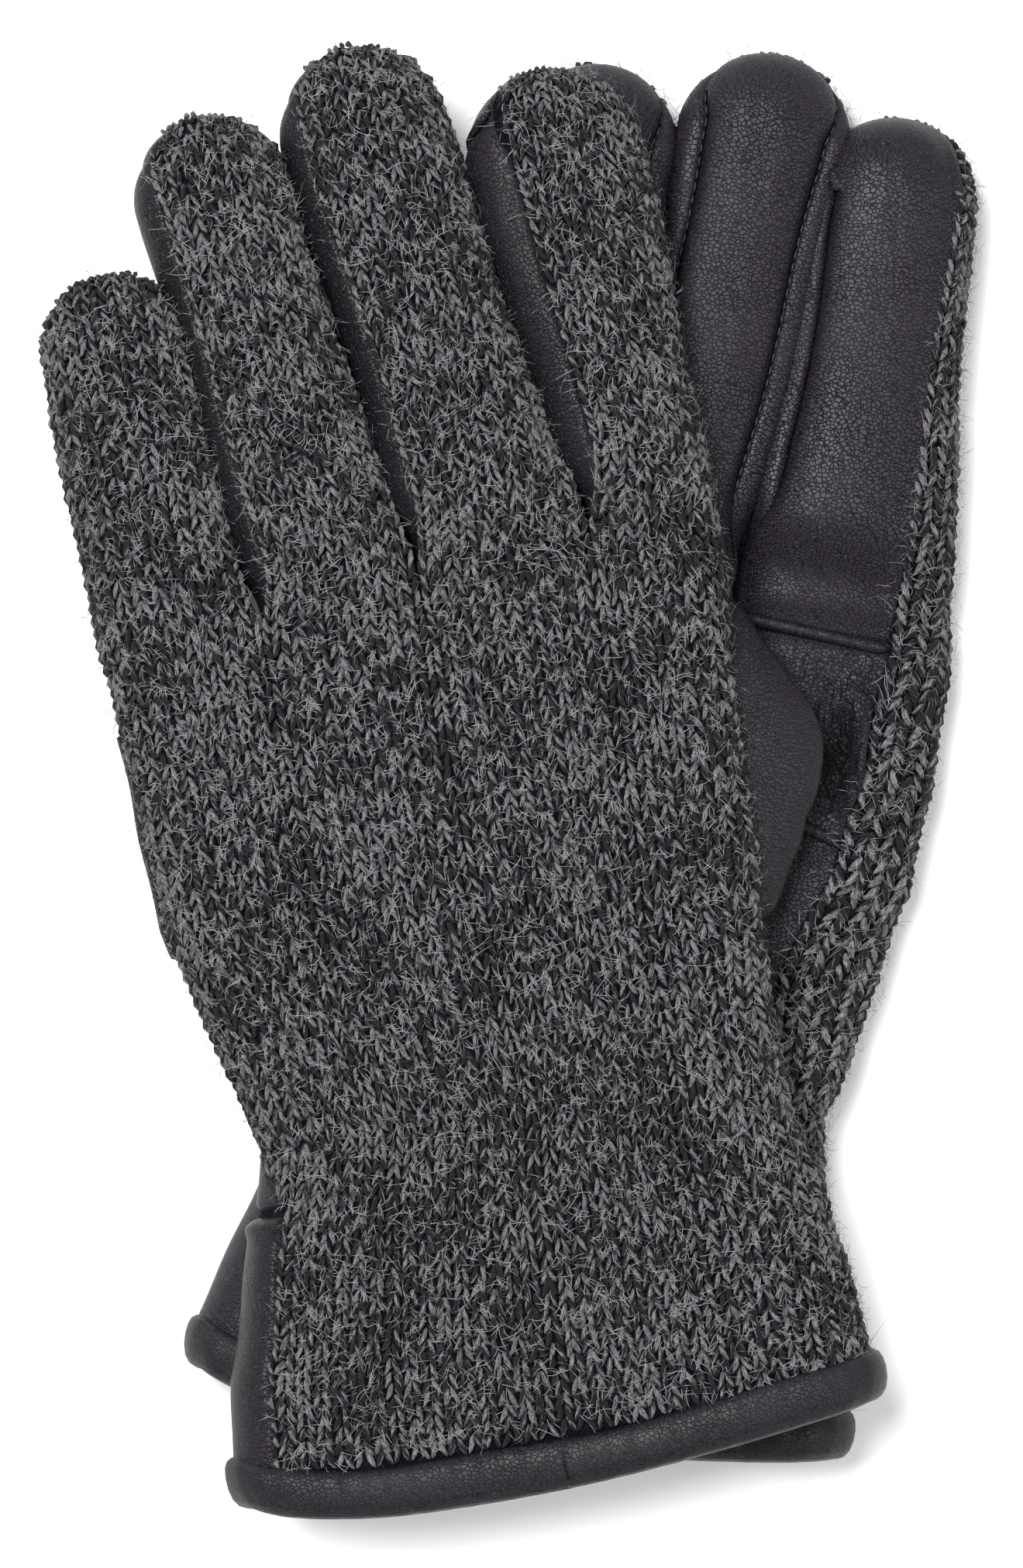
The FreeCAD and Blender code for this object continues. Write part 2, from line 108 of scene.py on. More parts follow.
# %% Measures
HANDS = {
    "left": {
        "outer": [(-8, -55.6), (9, -56.0), (23, -53.8), (50, -45.6), (61, -41.6), (68, -43.6),
                  (85, -48.0), (102, -51.2), (118, -52.2), (150, -53.0), (176, -52.6)],
        "inner": [(-8, 55.9), (10, 56.2), (35, 54.2), (47, 51.6), (60, 50.6), (74, 51.4),
                  (105, 53.4), (130, 55.0), (147, 56.8), (176, 55.8)],
        "fingers": {
            "little": dict(root=(-38.9, 140.0), tip=(-40.5, 203.0),
                           half=(14.0, 12.5), reach=(1.0, 0.86)),
            "ring": dict(root=(-10.4, 146.0), tip=(-19.0, 226.6),
                         half=(14.1, 12.9), reach=(0.56, 0.9)),
            "middle": dict(root=(19.0, 150.0), tip=(8.7, 232.6),
                           half=(14.8, 13.9), reach=(0.6, 0.94)),
            "index": dict(root=(45.3, 150.0), tip=(40.2, 221.4),
                          half=(11.4, 14.9), reach=(0.38, 1.0)),
        },
        "slits": [(-24.6, 146.4), (3.8, 153.6), (34.3, 154.9)],
        "wrist": (61.0, 47.0),
        "thumb": (38.0, 120.0, 14.0), "pinch": (40.0, 122.0),
        "rib_v": 141.5, "hem": -5.0, "low_rib": (97.0, 94.0),
    },
    "right": {
        "outer": [(-8, -56.4), (9, -56.0), (26, -51.0), (50, -43.9), (61, -41.6), (68, -43.6),
                  (85, -48.0), (102, -51.0), (118, -52.4), (150, -53.8), (176, -54.2)],
        "inner": [(-8, 56.6), (9, 56.2), (26, 52.0), (46, 47.8), (58, 46.8), (67, 50.0), (83, 53.2),
                  (100, 56.4), (117, 58.2), (133, 58.6), (150, 57.2), (176, 55.2)],
        "fingers": {
            "little": dict(root=(-42.0, 138.0), tip=(-44.0, 195.0),
                           half=(11.8, 10.8), reach=(1.0, 0.86)),
            "ring": dict(root=(-17.8, 142.0), tip=(-14.4, 222.0),
                         half=(12.4, 13.6), reach=(0.8, 0.94)),
            "middle": dict(root=(6.8, 146.0), tip=(14.6, 226.6),
                           half=(12.6, 14.5), reach=(0.8, 0.94)),
            "index": dict(root=(38.6, 140.0), tip=(38.1, 218.3),
                          half=(18.2, 14.0), reach=(0.7, 1.0)),
        },
        "slits": [(-30.0, 144.0), (-5.6, 149.0), (19.6, 150.0)],
        "wrist": (61.0, 56.0),
        "thumb": (21.5, 121.5, 10.0), "pinch": (38.0, 122.0),
        "rib_v": 141.0, "hem": -6.3, "low_rib": (108.6, 105.2),
    },
}
FINGERS = ("little", "ring", "middle", "index")
WALES = {"little": 10, "ring": 9, "middle": 10, "index": 12}   # columns of stitches on each finger
COURSE = 2.2                     # height of a row of stitches, in mm
HEM_BOW = 6.0                    # how much further up the hem's corners lie than its middle
BAND = 8.4                       # height of the leather band on the hem
HALF_HAND = 54.0                 # half width of the hand that the places of the slits are given for
FRONT_INSET = 3.4                # from a finger's side to the seam of its leather front, in plan
OPENS = 18.0                     # length over which a slit opens into two fingers
SEAM_DEPTH = 1.3                 # how far the seams of the leather fronts lie below its surface
LINING_DEPTH = 2.2               # how far the lining lies below the glove's surface
FIBRE_LIFT = 1.45                # height above the ground of the knitting where its fibres start

# %% [markdown]
# ## The shape of a section
# A section across a hand or a finger is a flat back, a rounded side and a flat front.  It is
# measured along the surface, from the middle of the back round to the middle of the front, because
# knitting and leather keep their length when they go round a side.  The round is an ellipse, whose
# length has no formula, so a small table of it is summed and read backwards.

# %% Sections
ROUND_STEPS = np.linspace(0, math.pi / 2, 25)


def matched(*values):
    """The values as float arrays of one shape."""
    return np.broadcast_arrays(*(np.asarray(x, float) for x in values))


def round_table(wide, high):
    """Length along a quarter ellipse, from its top, at each of ROUND_STEPS."""
    speed = np.hypot(wide[..., None] * np.cos(ROUND_STEPS), high[..., None] * np.sin(ROUND_STEPS))
    pieces = (speed[..., 1:] + speed[..., :-1]) / 2 * np.diff(ROUND_STEPS)
    return np.concatenate([np.zeros(pieces.shape[:-1] + (1,)), np.cumsum(pieces, axis=-1)], axis=-1)


def table_pair(table, step):
    """The table's values at a step and at the one after it."""
    return (np.take_along_axis(table, (step + k)[..., None], -1)[..., 0] for k in (0, 1))


def section(reach, half, thick, corner):
    """Place and outward direction, across and up, at a distance from the middle of the back."""
    reach, half, thick, corner = matched(reach, half, thick, corner)
    table = round_table(corner, thick)
    quarter = table[..., -1]
    flat = half - corner
    along = reach - flat
    under = along > quarter
    along = np.where(under, 2 * quarter - along, along)
    inside = np.clip(along, 0, quarter)
    step = np.clip((table <= inside[..., None]).sum(axis=-1) - 1, 0, len(ROUND_STEPS) - 2)
    low, high = table_pair(table, step)
    turn = ROUND_STEPS[step] + (inside - low) / np.maximum(high - low, 1e-9) * ROUND_STEPS[1]
    out = flat + corner * np.sin(turn) + np.minimum(along, 0)
    rise = thick * np.cos(turn)
    lean_out, lean_up = thick * np.sin(turn), corner * np.cos(turn)
    size = np.hypot(lean_out, lean_up)
    sign = np.where(under, -1.0, 1.0)
    return out, rise * sign, lean_out / size, lean_up / size * sign


def whole_reach(half, thick, corner):
    """Distance from the middle of the back to the middle of the front."""
    half, thick, corner = matched(half, thick, corner)
    return 2 * (half - corner) + 2 * round_table(corner, thick)[..., -1]


def reach_of_inset(half, thick, corner, inset):
    """Distance from the middle of a face to the point that lies inset from the side, in plan."""
    half, thick, corner, inset = matched(half, thick, corner, inset)
    table = round_table(corner, thick)
    turn = np.arcsin(np.clip((corner - inset) / corner, 0, 1))
    part = turn / ROUND_STEPS[1]
    step = np.clip(part.astype(int), 0, len(ROUND_STEPS) - 2)
    low, high = table_pair(table, step)
    on_round = half - corner + low + (high - low) * (part - step)
    return np.where(inset > corner, half - inset, on_round)


def smooth(amount):
    """0 below 0, 1 above 1, and an S between them."""
    amount = np.clip(amount, 0, 1)
    return amount * amount * (3 - 2 * amount)


def mix(low, high, amount):
    return low + (high - low) * amount


print("a 15 mm wide, 8 mm thick side is", round(float(whole_reach(15, 8, 12)), 1), "mm round")

# %% [markdown]
# ## A glove as one smooth surface
# The hand is one wide section that changes from the hem to the knuckles.  Each finger is a narrow
# section along its own straight line, closed by a dome.  Above a slit, the surface turns smoothly
# from the hand's section into the finger's: that makes the knuckles without any seam.  A strip is a
# finger with the part of the hand below it, and the four strips meet along the slits.


# %% Glove surface
class Glove:
    def __init__(self, side):
        self.side, self.plan, self.data = side, plans[side], HANDS[side]
        fingers = self.data["fingers"]
        ends = [self.data["slits"][0][1] - 6, self.data["slits"][-1][1] - 4]
        self.slit_u = [s[0] for s in self.data["slits"]]
        self.slit_v = [ends[0]] + [s[1] for s in self.data["slits"]] + [ends[1]]
        self.lines = {}
        for name, finger in fingers.items():
            root, tip = np.array(finger["root"], float), np.array(finger["tip"], float)
            length = np.linalg.norm(tip - root)
            along = (tip - root) / length
            self.lines[name] = (root, along, np.array([along[1], -along[0]]), length)

    # ---- the hand
    def edges(self, v):
        """u of the hand's outer and inner edge."""
        outer_in, inner_in = (1.4, 0.9) if self.plan.turned else (0.2, -0.2)
        wave = 0.35 * np.sin(v / 7.3) + 0.25 * np.sin(v / 3.1 + 1)
        outer, inner = (np.interp(v, *zip(*self.data[key])) for key in ("outer", "inner"))
        gather = self.gather(v)
        outer = outer + outer_in - wave * 0.6 + gather * 0.6
        return outer, inner - inner_in + wave * 0.8 - gather * 0.6

    def gather(self, v):
        """1 where the elastic draws the wrist in."""
        return np.exp(-((v - np.mean(self.data["wrist"])) / 7.0) ** 2)

    def hand_sizes(self, v):
        """Middle, half width, half thickness and corner of the section at v."""
        outer, inner = self.edges(v)
        thick = 7.9 - 2.65 * smooth((v - 58) / 18) + 2.4 * smooth((v - 150) / 16) - 0.9 * self.gather(v)
        corner = 11.0 + 0 * v
        return (outer + inner) / 2, (inner - outer) / 2, thick, corner

    def hand(self, reach, v, face, lift=0.0):
        """Point of the hand: reach is signed and counts from the middle of that face."""
        reach, v = matched(reach, v)
        middle, half, thick, corner = self.hand_sizes(v)
        out, rise, lean_out, lean_up = section(np.abs(reach), half, thick, corner)
        side = np.sign(reach)
        u = middle + side * (out + lift * lean_out)
        up = face * (rise + lift * lean_up) - self.dips(u, v) * face
        return np.stack([u, v, thick - up + self.sag(u, v)], axis=-1)

    def dips(self, u, v):
        """Valleys that run down from the slits."""
        total = np.zeros(np.broadcast(u, v).shape)
        for slit_u, slit_v in zip(self.slit_u, self.slit_v[1:-1]):
            run = smooth(1 - (slit_v - v) / 24.0)
            total += 3.0 * run ** 2 * np.exp(-((u - slit_u) / 5.0) ** 2)
        return total

    def sag(self, u, v):
        """How far the cloth lies below a flat back: it droops to the tips and over the wrist."""
        tips = 1.6 * smooth((v - 175) / 60) if self.plan.turned else 0.0
        gather = self.gather(v)
        ripple = 0.3 * gather * np.sin(u / 1.15) + 0.3 * gather
        rolls = 0.35 * np.sin(v / 17 + u / 31) + 0.25 * np.sin(u / 13 - v / 23 + 2)
        return tips + ripple + (rolls + 0.6 if self.plan.turned else 0.1 * rolls + 1.4)

    # ---- a finger
    def finger_sizes(self, name, y):
        finger = self.data["fingers"][name]
        _, _, _, length = self.lines[name]
        part = np.clip(y / length, 0, 1)
        seed = FINGERS.index(name) * 1.7 + (2.3 if self.plan.turned else 0)
        wave = 0.45 * np.sin(y / 8.5 + seed) * smooth(y / 20) * smooth((length - y) / 15 + 0.4)
        half = mix(finger["half"][0], finger["half"][1], smooth(part) * 0.6 + part * 0.4) + wave
        thick = 8.0 - 0.5 * smooth((y - length * 0.6) / (length * 0.5))
        return half, thick, half * 0.86

    def finger(self, name, reach, y, face, lift=0.0):
        """Point of a finger; beyond the line's end the surface is a dome, read as a flat pattern."""
        reach, y = matched(reach, y)
        length = self.lines[name][3]
        over = np.maximum(y - length, 0)
        flat = np.hypot(reach, over)
        east, north = reach / np.maximum(flat, 1e-9), over / np.maximum(flat, 1e-9)
        return self.finger_ray(name, np.minimum(y, length), east, north, flat, face, lift)

    def finger_ray(self, name, y, east, north, flat, face, lift=0.0):
        """Point at a distance flat from the middle of a face, in the direction (east, north)."""
        root, along, across, _ = self.lines[name]
        half, thick, corner = self.finger_sizes(name, y)
        out, rise, lean_out, lean_up = section(flat, half, thick, corner)
        out = out + lift * lean_out
        up = face * (rise + lift * lean_up)
        offset = (out * east)[..., None] * across + (out * north)[..., None] * along
        plan_ = root + y[..., None] * along + offset
        depth = thick - up + self.sag(plan_[..., 0], plan_[..., 1])
        return np.concatenate([plan_, depth[..., None]], -1)

    # ---- how far the knitting comes round, and where the leather front starts
    def knit_wrap(self, v):
        """How far the knitting comes onto the palm side along the index finger's edge, in plan."""
        return np.interp(v, (0, 60, 81, 97, 133, 150, 178, 214, 228),
                         (9, 13, 17, 14.5, 11.5, 9.5, 6.5, 3.5, 1.0))

    def finger_knit(self, name, y):
        """Reach of the knitting to the left and to the right of a finger's middle."""
        sizes = self.finger_sizes(name, y)
        quarter = whole_reach(*sizes) / 2
        left, right = self.data["fingers"][name]["reach"]
        right_reach = quarter * right
        if name == "index":
            v = self.lines[name][0][1] + y
            right_reach = whole_reach(*sizes) - reach_of_inset(*sizes, self.knit_wrap(v))
        return quarter * left, right_reach

    def finger_front(self, name, y):
        """Reach of the leather front, from the middle of the palm side, to the left and right."""
        sizes = self.finger_sizes(name, y)
        seam, whole = reach_of_inset(*sizes, FRONT_INSET), whole_reach(*sizes)
        knit_left, knit_right = self.finger_knit(name, y)
        left = whole - knit_left + 0.9 if name == "little" else seam
        right = whole - knit_right + 0.9 if name == "index" else seam
        return left, right

    def hand_limits(self, v, face):
        """Reaches of the hand's two edges and its three slits on one face, left to right."""
        middle, *sizes = self.hand_sizes(v)
        whole = whole_reach(*sizes)
        inner = whole - reach_of_inset(*sizes, self.knit_wrap(v))
        stretch = sizes[0] / HALF_HAND
        spread = smooth((150 - v) / 60)
        wide = [mix(slit, middle + (slit - 2.0) * stretch, spread) - middle for slit in self.slit_u]
        return [-whole / 2, *wide, inner if face > 0 else whole - inner]

    def strip(self, name, share, y, face, lift=0.0):
        """Point of a finger's strip of the hand: share runs from 0 at its left to 1 at its right."""
        share, v = matched(share, y)
        index = FINGERS.index(name)
        limits = self.hand_limits(v, face)
        on_hand = self.hand(mix(limits[index], limits[index + 1], share), v, face, lift)
        root, _, _, length = self.lines[name]
        up = v - root[1]
        reaches = self.finger_knit if face > 0 else self.finger_front
        left, right = reaches(name, np.clip(up, 0, length))
        on_finger = self.finger(name, mix(-left, right, share), up, face, lift)
        opened = smooth((v - mix(self.slit_v[index], self.slit_v[index + 1], share)) / OPENS)
        return mix(on_hand, on_finger, opened[..., None])

    def dome_reach(self, name, angle, face):
        """Reach of one face at the fingertip, in each direction round the dome."""
        _, _, _, length = self.lines[name]
        end = np.full(np.shape(angle), float(length))
        whole = whole_reach(*self.finger_sizes(name, end))
        left, right = self.finger_knit(name, end)
        side = np.where(np.cos(angle) > 0, right, left)
        knit = mix(whole / 2 - (0.3 if self.plan.turned else 0.8), side, np.cos(angle) ** 2)
        if face > 0:
            return knit
        left, right = self.finger_front(name, end)
        side = np.where(np.cos(angle) > 0, right, left)
        return mix(whole - knit, side, smooth(1 - np.sin(angle) / 0.96))


gloves = {side: Glove(side) for side in plans}
print("length of the left middle finger:", round(gloves["left"].lines["middle"][3], 1), "mm")

# %% [markdown]
# ## Making meshes from grids
# Most pieces are grids of points on that surface.  Patchwork gathers several grids, with any values
# that a material will need, welds them where they meet and makes one object of them.


# %% Patchwork
def linked(name, data):
    """A new object that shows data, in the scene."""
    thing = bpy.data.objects.new(name, data)
    bpy.context.scene.collection.objects.link(thing)
    return thing


def give(mesh, name, values):
    """Gives every point of a mesh a number or a vector of its own."""
    values = np.asarray(values, np.float32)
    kind, field = ("FLOAT_VECTOR", "vector") if values.ndim > 1 else ("FLOAT", "value")
    mesh.attributes.new(name, kind, "POINT").data.foreach_set(field, values.ravel())


WELD, TINY = 0.05 * MM, 0.01 * MM    # points nearer than this meet; edges shorter than this go


class Patchwork:
    def __init__(self, name, side):
        self.name, self.side = name, side
        self.points, self.faces, self.values = [], [], {}
        self.count = 0

    def grid(self, points, keep=None, loop=False, flip=False, **values):
        """Add a grid of plan points (rows, columns, 3); keep says which of its cells are faces."""
        points = np.asarray(points, float)
        rows, columns = points.shape[:2]
        number = self.count + np.arange(rows * columns).reshape(rows, columns)
        after = np.roll(number, -1, axis=1) if loop else number[:, 1:]
        before = number if loop else number[:, :-1]
        quads = np.stack([before[:-1], after[:-1], after[1:], before[1:]], axis=-1)
        if flip:
            quads = quads[..., ::-1]
        self.faces.append(quads[keep] if keep is not None else quads.reshape(-1, 4))
        self.points.append(points.reshape(-1, 3))
        for key, value in values.items():
            self.values.setdefault(key, []).append(np.broadcast_to(value, (rows, columns)).ravel())
        self.count += rows * columns

    def build(self, material=None, thickness=0.0):
        points = plans[self.side].place(np.concatenate(self.points))
        faces = np.concatenate(self.faces)
        if self.side == "left":
            faces = faces[:, ::-1]
        mesh = bpy.data.meshes.new(self.name)
        mesh.from_pydata(points.tolist(), [], faces.tolist())
        for key, parts in self.values.items():
            give(mesh, key, np.concatenate(parts))
        tidy_mesh(mesh)
        mesh.shade_smooth()
        thing = linked(self.name, mesh)
        if material:
            mesh.materials.append(material)
        if thickness:
            shell = thing.modifiers.new("thickness", "SOLIDIFY")
            shell.thickness, shell.offset = thickness * MM, -1
        return thing


def tidy_mesh(mesh):
    """Weld points that meet, and drop faces that have no area and points that have no face."""
    import bmesh
    work = bmesh.new()
    work.from_mesh(mesh)
    loose = [vertex for vertex in work.verts if not vertex.link_faces]
    bmesh.ops.delete(work, geom=loose, context="VERTS")
    bmesh.ops.remove_doubles(work, verts=work.verts, dist=WELD)
    bmesh.ops.dissolve_degenerate(work, edges=work.edges, dist=TINY)
    work.to_mesh(mesh)
    work.free()

# %% [markdown]
# ## Node helpers
# A shader is easier to read as a sum than as a web.  Value wraps a number socket, so that
# `1 - mask * 0.3` adds its Math nodes by itself.  Finish makes every other node with one method:
# its settings first, then the values and links of its sockets.

# %% Shader helpers
class Value:
    """A number socket that can be added, subtracted and multiplied."""

    def __init__(self, finish, socket):
        self.finish, self.socket = finish, socket

    def maths(self, operation, *others):
        return self.finish.maths(operation, *others)

    def __add__(self, other): return self.maths("ADD", self, other)
    def __radd__(self, other): return self.maths("ADD", other, self)
    def __sub__(self, other): return self.maths("SUBTRACT", self, other)
    def __rsub__(self, other): return self.maths("SUBTRACT", other, self)
    def __mul__(self, other): return self.maths("MULTIPLY", self, other)


def join(tree, socket, value):
    """Puts a value or a link into a socket."""
    if isinstance(value, Value):
        value = value.socket
    if isinstance(value, bpy.types.NodeSocket):
        tree.links.new(value, socket)
    elif value is not None:
        socket.default_value = value


def add_node(tree, kind, settings=None, **sockets):
    """Adds a node: settings first, then its sockets, named with _ for a space."""
    node = tree.nodes.new(kind)
    for key, value in (settings or {}).items():
        setattr(node, key, value)
    for key, value in sockets.items():
        place = int(key[1:]) if key[0] == "_" else key.replace("_", " ")
        join(tree, node.inputs[place], value)
    return node


class Finish:
    """A material under construction."""

    def __init__(self, name):
        self.material = bpy.data.materials.new(name)
        self.material.use_nodes = True
        self.tree = self.material.node_tree
        self.tree.nodes.clear()
        self.shader = self.node("ShaderNodeBsdfPrincipled")
        self.node("ShaderNodeOutputMaterial", Surface=self.shader.outputs[0])

    def node(self, kind, settings=None, **sockets):
        return add_node(self.tree, kind, settings, **sockets)

    def value(self, node, output=0):
        return Value(self, node.outputs[output])

    def maths(self, operation, *inputs):
        return self.value(self.node("ShaderNodeMath", {"operation": operation},
                                    **{f"_{k}": x for k, x in enumerate(inputs)}))

    def attribute(self, name):
        return self.value(self.node("ShaderNodeAttribute", {"attribute_name": name}), "Fac")

    def place(self, scale=(1, 1, 1), turn=0.0, bend=None):
        """Object coordinates, turned about the upright axis and scaled, and bent by a noise."""
        start = self.node("ShaderNodeTexCoord").outputs["Object"]
        moved = self.node("ShaderNodeMapping", Vector=start, Rotation=(0, 0, turn), Scale=scale)
        if bend:
            size, amount = bend
            wobble = self.node("ShaderNodeTexNoise", Vector=start, Scale=size, Detail=2.0)
            moved = self.node("ShaderNodeVectorMath", {"operation": "MULTIPLY_ADD"},
                              _0=wobble.outputs["Color"], _1=(amount,) * 3, _2=moved.outputs[0])
        return moved.outputs[0]

    def noise(self, where, scale, detail=2.0, roughness=0.5):
        return self.value(self.node("ShaderNodeTexNoise", Vector=where, Scale=scale, Detail=detail,
                                    Roughness=roughness))

    def cells(self, where, scale, feature="SMOOTH_F1"):
        return self.value(self.node("ShaderNodeTexVoronoi", {"feature": feature},
                                    Vector=where, Scale=scale))

    def between(self, value, low, high, to=(0.0, 1.0), kind="SMOOTHSTEP"):
        return self.value(self.node("ShaderNodeMapRange", {"interpolation_type": kind}, _0=value,
                                    _1=low, _2=high, _3=to[0], _4=to[1]))

    def colour(self, low, high, amount):
        mixer = self.node("ShaderNodeMix", {"data_type": "RGBA"})
        join(self.tree, mixer.inputs["Factor"], amount)
        for socket, value in ((mixer.inputs[6], low), (mixer.inputs[7], high)):
            join(self.tree, socket, value)
        return mixer.outputs[2]

    def bump(self, height, depth, below=None):
        return self.node("ShaderNodeBump", Height=height, Distance=depth, Strength=1.0,
                         Normal=below).outputs[0]

    def surface(self, **sockets):
        for key, value in sockets.items():
            join(self.tree, self.shader.inputs[key.replace("_", " ")], value)
        return self.material


def tone(red, green, blue):
    """A colour given as 0 to 255, as Blender's linear light."""
    return tuple((c / 255 / 12.92 if c <= 10 else ((c / 255 + 0.055) / 1.055) ** 2.4)
                 for c in (red, green, blue)) + (1.0,)


# %% [markdown]
# ## Ragg wool
# Ragg yarn twists a pale strand with a dark one, so every stitch shows some of each.  A stitch
# carries its own place along the yarn and round it; with the phase of its row they say which
# strand faces out.  Sines and cosines are used because an angle would jump where it closes.

# %% Wool
def wool_finish():
    wool = Finish("ragg_wool")
    round_c, round_s, along = (wool.attribute(n) for n in ("round_c", "round_s", "along"))
    drift = wool.noise(wool.place(), 75.0, 1.0)
    phase = wool.attribute("phase") + along + wool.noise(wool.place(), 260.0, 2.0) * 2.4
    ply = wool.maths("SINE", phase) * round_c + wool.maths("COSINE", phase) * round_s
    tube = wool.node("ShaderNodeCombineXYZ", _0=round_c * 2.6, _1=round_s * 2.6 + along * 0.5,
                     _2=along * 0.8 + wool.attribute("phase") * 7.0)
    strands = wool.noise(tube.outputs[0], 1.7, 3.0, 0.7)
    hairs = wool.noise(wool.place(), 3400.0, 3.0, 0.7)
    pale = wool.between(ply + (drift - 0.5) * 3.0 + (strands - 0.5) * 2.0, -0.05, 0.5)
    streak = wool.between(strands * 0.75 + hairs * 0.25, 0.40, 0.62)
    light = wool.colour(tone(34, 32, 38), tone(148, 145, 148), streak)
    lint = wool.between(strands * 0.6 + hairs * 0.4, 0.48, 0.72)
    dark = wool.colour(tone(4, 3, 8), tone(28, 25, 34), lint)
    return wool.surface(Base_Color=wool.colour(dark, light, pale), Roughness=0.9,
                        Normal=wool.bump(strands * 0.7 + hairs * 0.3, 0.0007),
                        Sheen_Weight=0.05, Sheen_Roughness=0.6, Specular_IOR_Level=0.2)


def dark_wool_gap_shade_finish():
    ground = Finish("wool_ground")
    # Dark colours only: partly the wool behind the stitches, partly painted shade in the gaps between
    # them.
    hairs = ground.noise(ground.place(), 1800.0, 3.0, 0.7)
    patches = ground.noise(ground.place(), 300.0, 2.0)
    mottled = ground.between(hairs * 0.6 + patches * 0.4, 0.42, 0.7)
    return ground.surface(Base_Color=ground.colour(tone(4, 3, 8), tone(22, 20, 27), mottled),
                          Roughness=0.95, Normal=ground.bump(hairs, 0.0004), Specular_IOR_Level=0.1)


# %% [markdown]
# ## Leather
# The leather is near black with a touch of brown.  Its grain is a field of small pebbles, a little
# longer up the hand than across, with finer pores between them and soft creases over them.  In
# broad random patches it turns paler and rougher.

# %% Leather
def leather_finish(name, turn, dark=(4, 3, 6), pale=(38, 33, 41), grain=1.0, rough=0.46):
    hide = Finish(name)
    where = hide.place((1150, 1400, 1250), turn, bend=(500.0, 1.3))
    cracks = hide.between(hide.cells(where, 1.0, "DISTANCE_TO_EDGE"), 0.0, 0.13)
    fine = hide.noise(hide.place(), 3600.0, 3.0, 0.6)
    folds = hide.noise(hide.place((300, 150, 250), turn, bend=(60.0, 3.0)), 1.0, 3.0, 0.55)
    cloud = hide.noise(hide.place(), 38.0, 3.0)
    tight = hide.between(hide.noise(hide.place(), 55.0, 1.0), 0.35, 0.7)
    height = cracks * (0.5 + tight * 0.5) * grain + fine * 0.2
    tint = 0.02 + cracks * (0.62 + tight * 0.1) + (cloud - 0.5) * 0.5 + (fine - 0.5) * 0.3
    # Painted shade: each point's painted shade value darkens the colour, in the hollow beside the
    # thumb's pinch and on the walls inside the upper glove's slits.
    tint = tint * (1.0 - hide.attribute("deep"))
    creased = hide.bump(folds * (0.08 + hide.attribute("crease")), 0.0035)
    tint = hide.between(tint, 0.0, 1.0, kind="LINEAR")
    return hide.surface(Base_Color=hide.colour(tone(*dark), tone(*pale), tint),
                        Roughness=hide.between(cloud, 0.3, 0.7, (rough - 0.06, rough + 0.08)),
                        Normal=hide.bump(height, 0.00014, creased), Specular_IOR_Level=0.23)


TURNS = {side: math.atan2(plan.across[1], plan.across[0]) for side, plan in plans.items()}
finishes = {"wool": wool_finish(), "ground": dark_wool_gap_shade_finish()}
for side, turn in TURNS.items():
    pale = {"left": (34, 29, 36), "right": (39, 34, 42)}[side]
    finishes[side + "_leather"] = leather_finish(side + "_leather", -turn, pale=pale)
    finishes[side + "_band"] = leather_finish(side + "_band_leather", -turn, (4, 4, 6), (33, 30, 36),
                                              grain=0.6, rough=0.5)
print("finishes:", sorted(finishes))

# %% [markdown]
# ## The knitted back: its ground
# Behind the stitches lies a sheet in the wool's dark colours only: partly the knitting's own back,
# partly painted shade in the gaps between the stitches, so that no gap opens onto the lining.  It is
# four strips, one for each finger, closed by four domes.


# %% Ground of the knitting
def columns(left, right):
    """Places from -1 at the left edge of a strip through 0 at its middle to 1 at its right."""
    return np.concatenate([np.linspace(-1, 0, left + 1), np.linspace(0, 1, right + 1)[1:]])


def hem_bow(spread):
    """How far the hem lies up from its middle; spread is -1 and 1 at the sides."""
    away = np.abs(spread)
    return HEM_BOW * np.where(spread > 0, 0.8 * away ** 1.6, 1.05 * away ** 3.4)


def strip_rows(glove, name, start, step):
    """Rows of v up a strip, from start to where the finger's dome begins."""
    root, _, _, length = glove.lines[name]
    end = root[1] + length
    return np.linspace(start, end, int(round((end - start) / step)) + 1)


def strip_sheet(glove, name, face, rows, places, lift):
    """Grid of a strip; lift may be a function of the row, the place and the finger's reach."""
    root, _, _, length = glove.lines[name]
    v, place = np.meshgrid(rows, places, indexing="ij")
    up = np.clip(v - root[1], 0, length)
    left, right = (glove.finger_knit if face > 0 else glove.finger_front)(name, up)
    share = np.where(place < 0, left * (1 + place), left + right * place) / (left + right)
    raised = lift(v, place, np.where(place < 0, left, right)) if callable(lift) else lift
    return glove.strip(name, share, v, face, raised)


def dome_sheet(glove, name, face, turns, rings, lift):
    """Grid of a fingertip, rings by turns, from the middle of the face out to its edge."""
    end = np.full((len(rings), len(turns)), glove.lines[name][3])
    ring, angle = np.meshgrid(rings, turns, indexing="ij")
    edge = glove.dome_reach(name, angle, face)
    raised = lift(ring, angle, edge) if callable(lift) else lift
    return glove.finger_ray(name, end, np.cos(angle), np.sin(angle), ring * edge, face, raised)


def knit_gap_shade_sheet(glove):
    sheet = Patchwork(glove.side + "_knit_ground", glove.side)
    for name in FINGERS:
        places = columns(8, 8)
        rows = strip_rows(glove, name, 2.0, 2.6)
        sheet.grid(strip_sheet(glove, name, 1, rows, places, 0.0), flip=True)
        sheet.grid(dome_sheet(glove, name, 1, np.linspace(0, math.pi, 19), places[8:], 0.0))
    return sheet.build(finishes["ground"], thickness=0.8)


grounds = {side: knit_gap_shade_sheet(glove) for side, glove in gloves.items()}
print("ground faces:", {side: len(thing.data.polygons) for side, thing in grounds.items()})

# %% [markdown]
# ## One stitch
# Seen from the front, a stitch of stocking stitch is a V: two legs that lean out from one foot.
# Each leg is a short tube, thin at both ends and fat in the middle, and it is bowed, because the
# yarn comes up from behind and dives again.  With five sides and three rings a leg is 30 triangles,
# which counts, because the gloves have nearly nine thousand stitches.


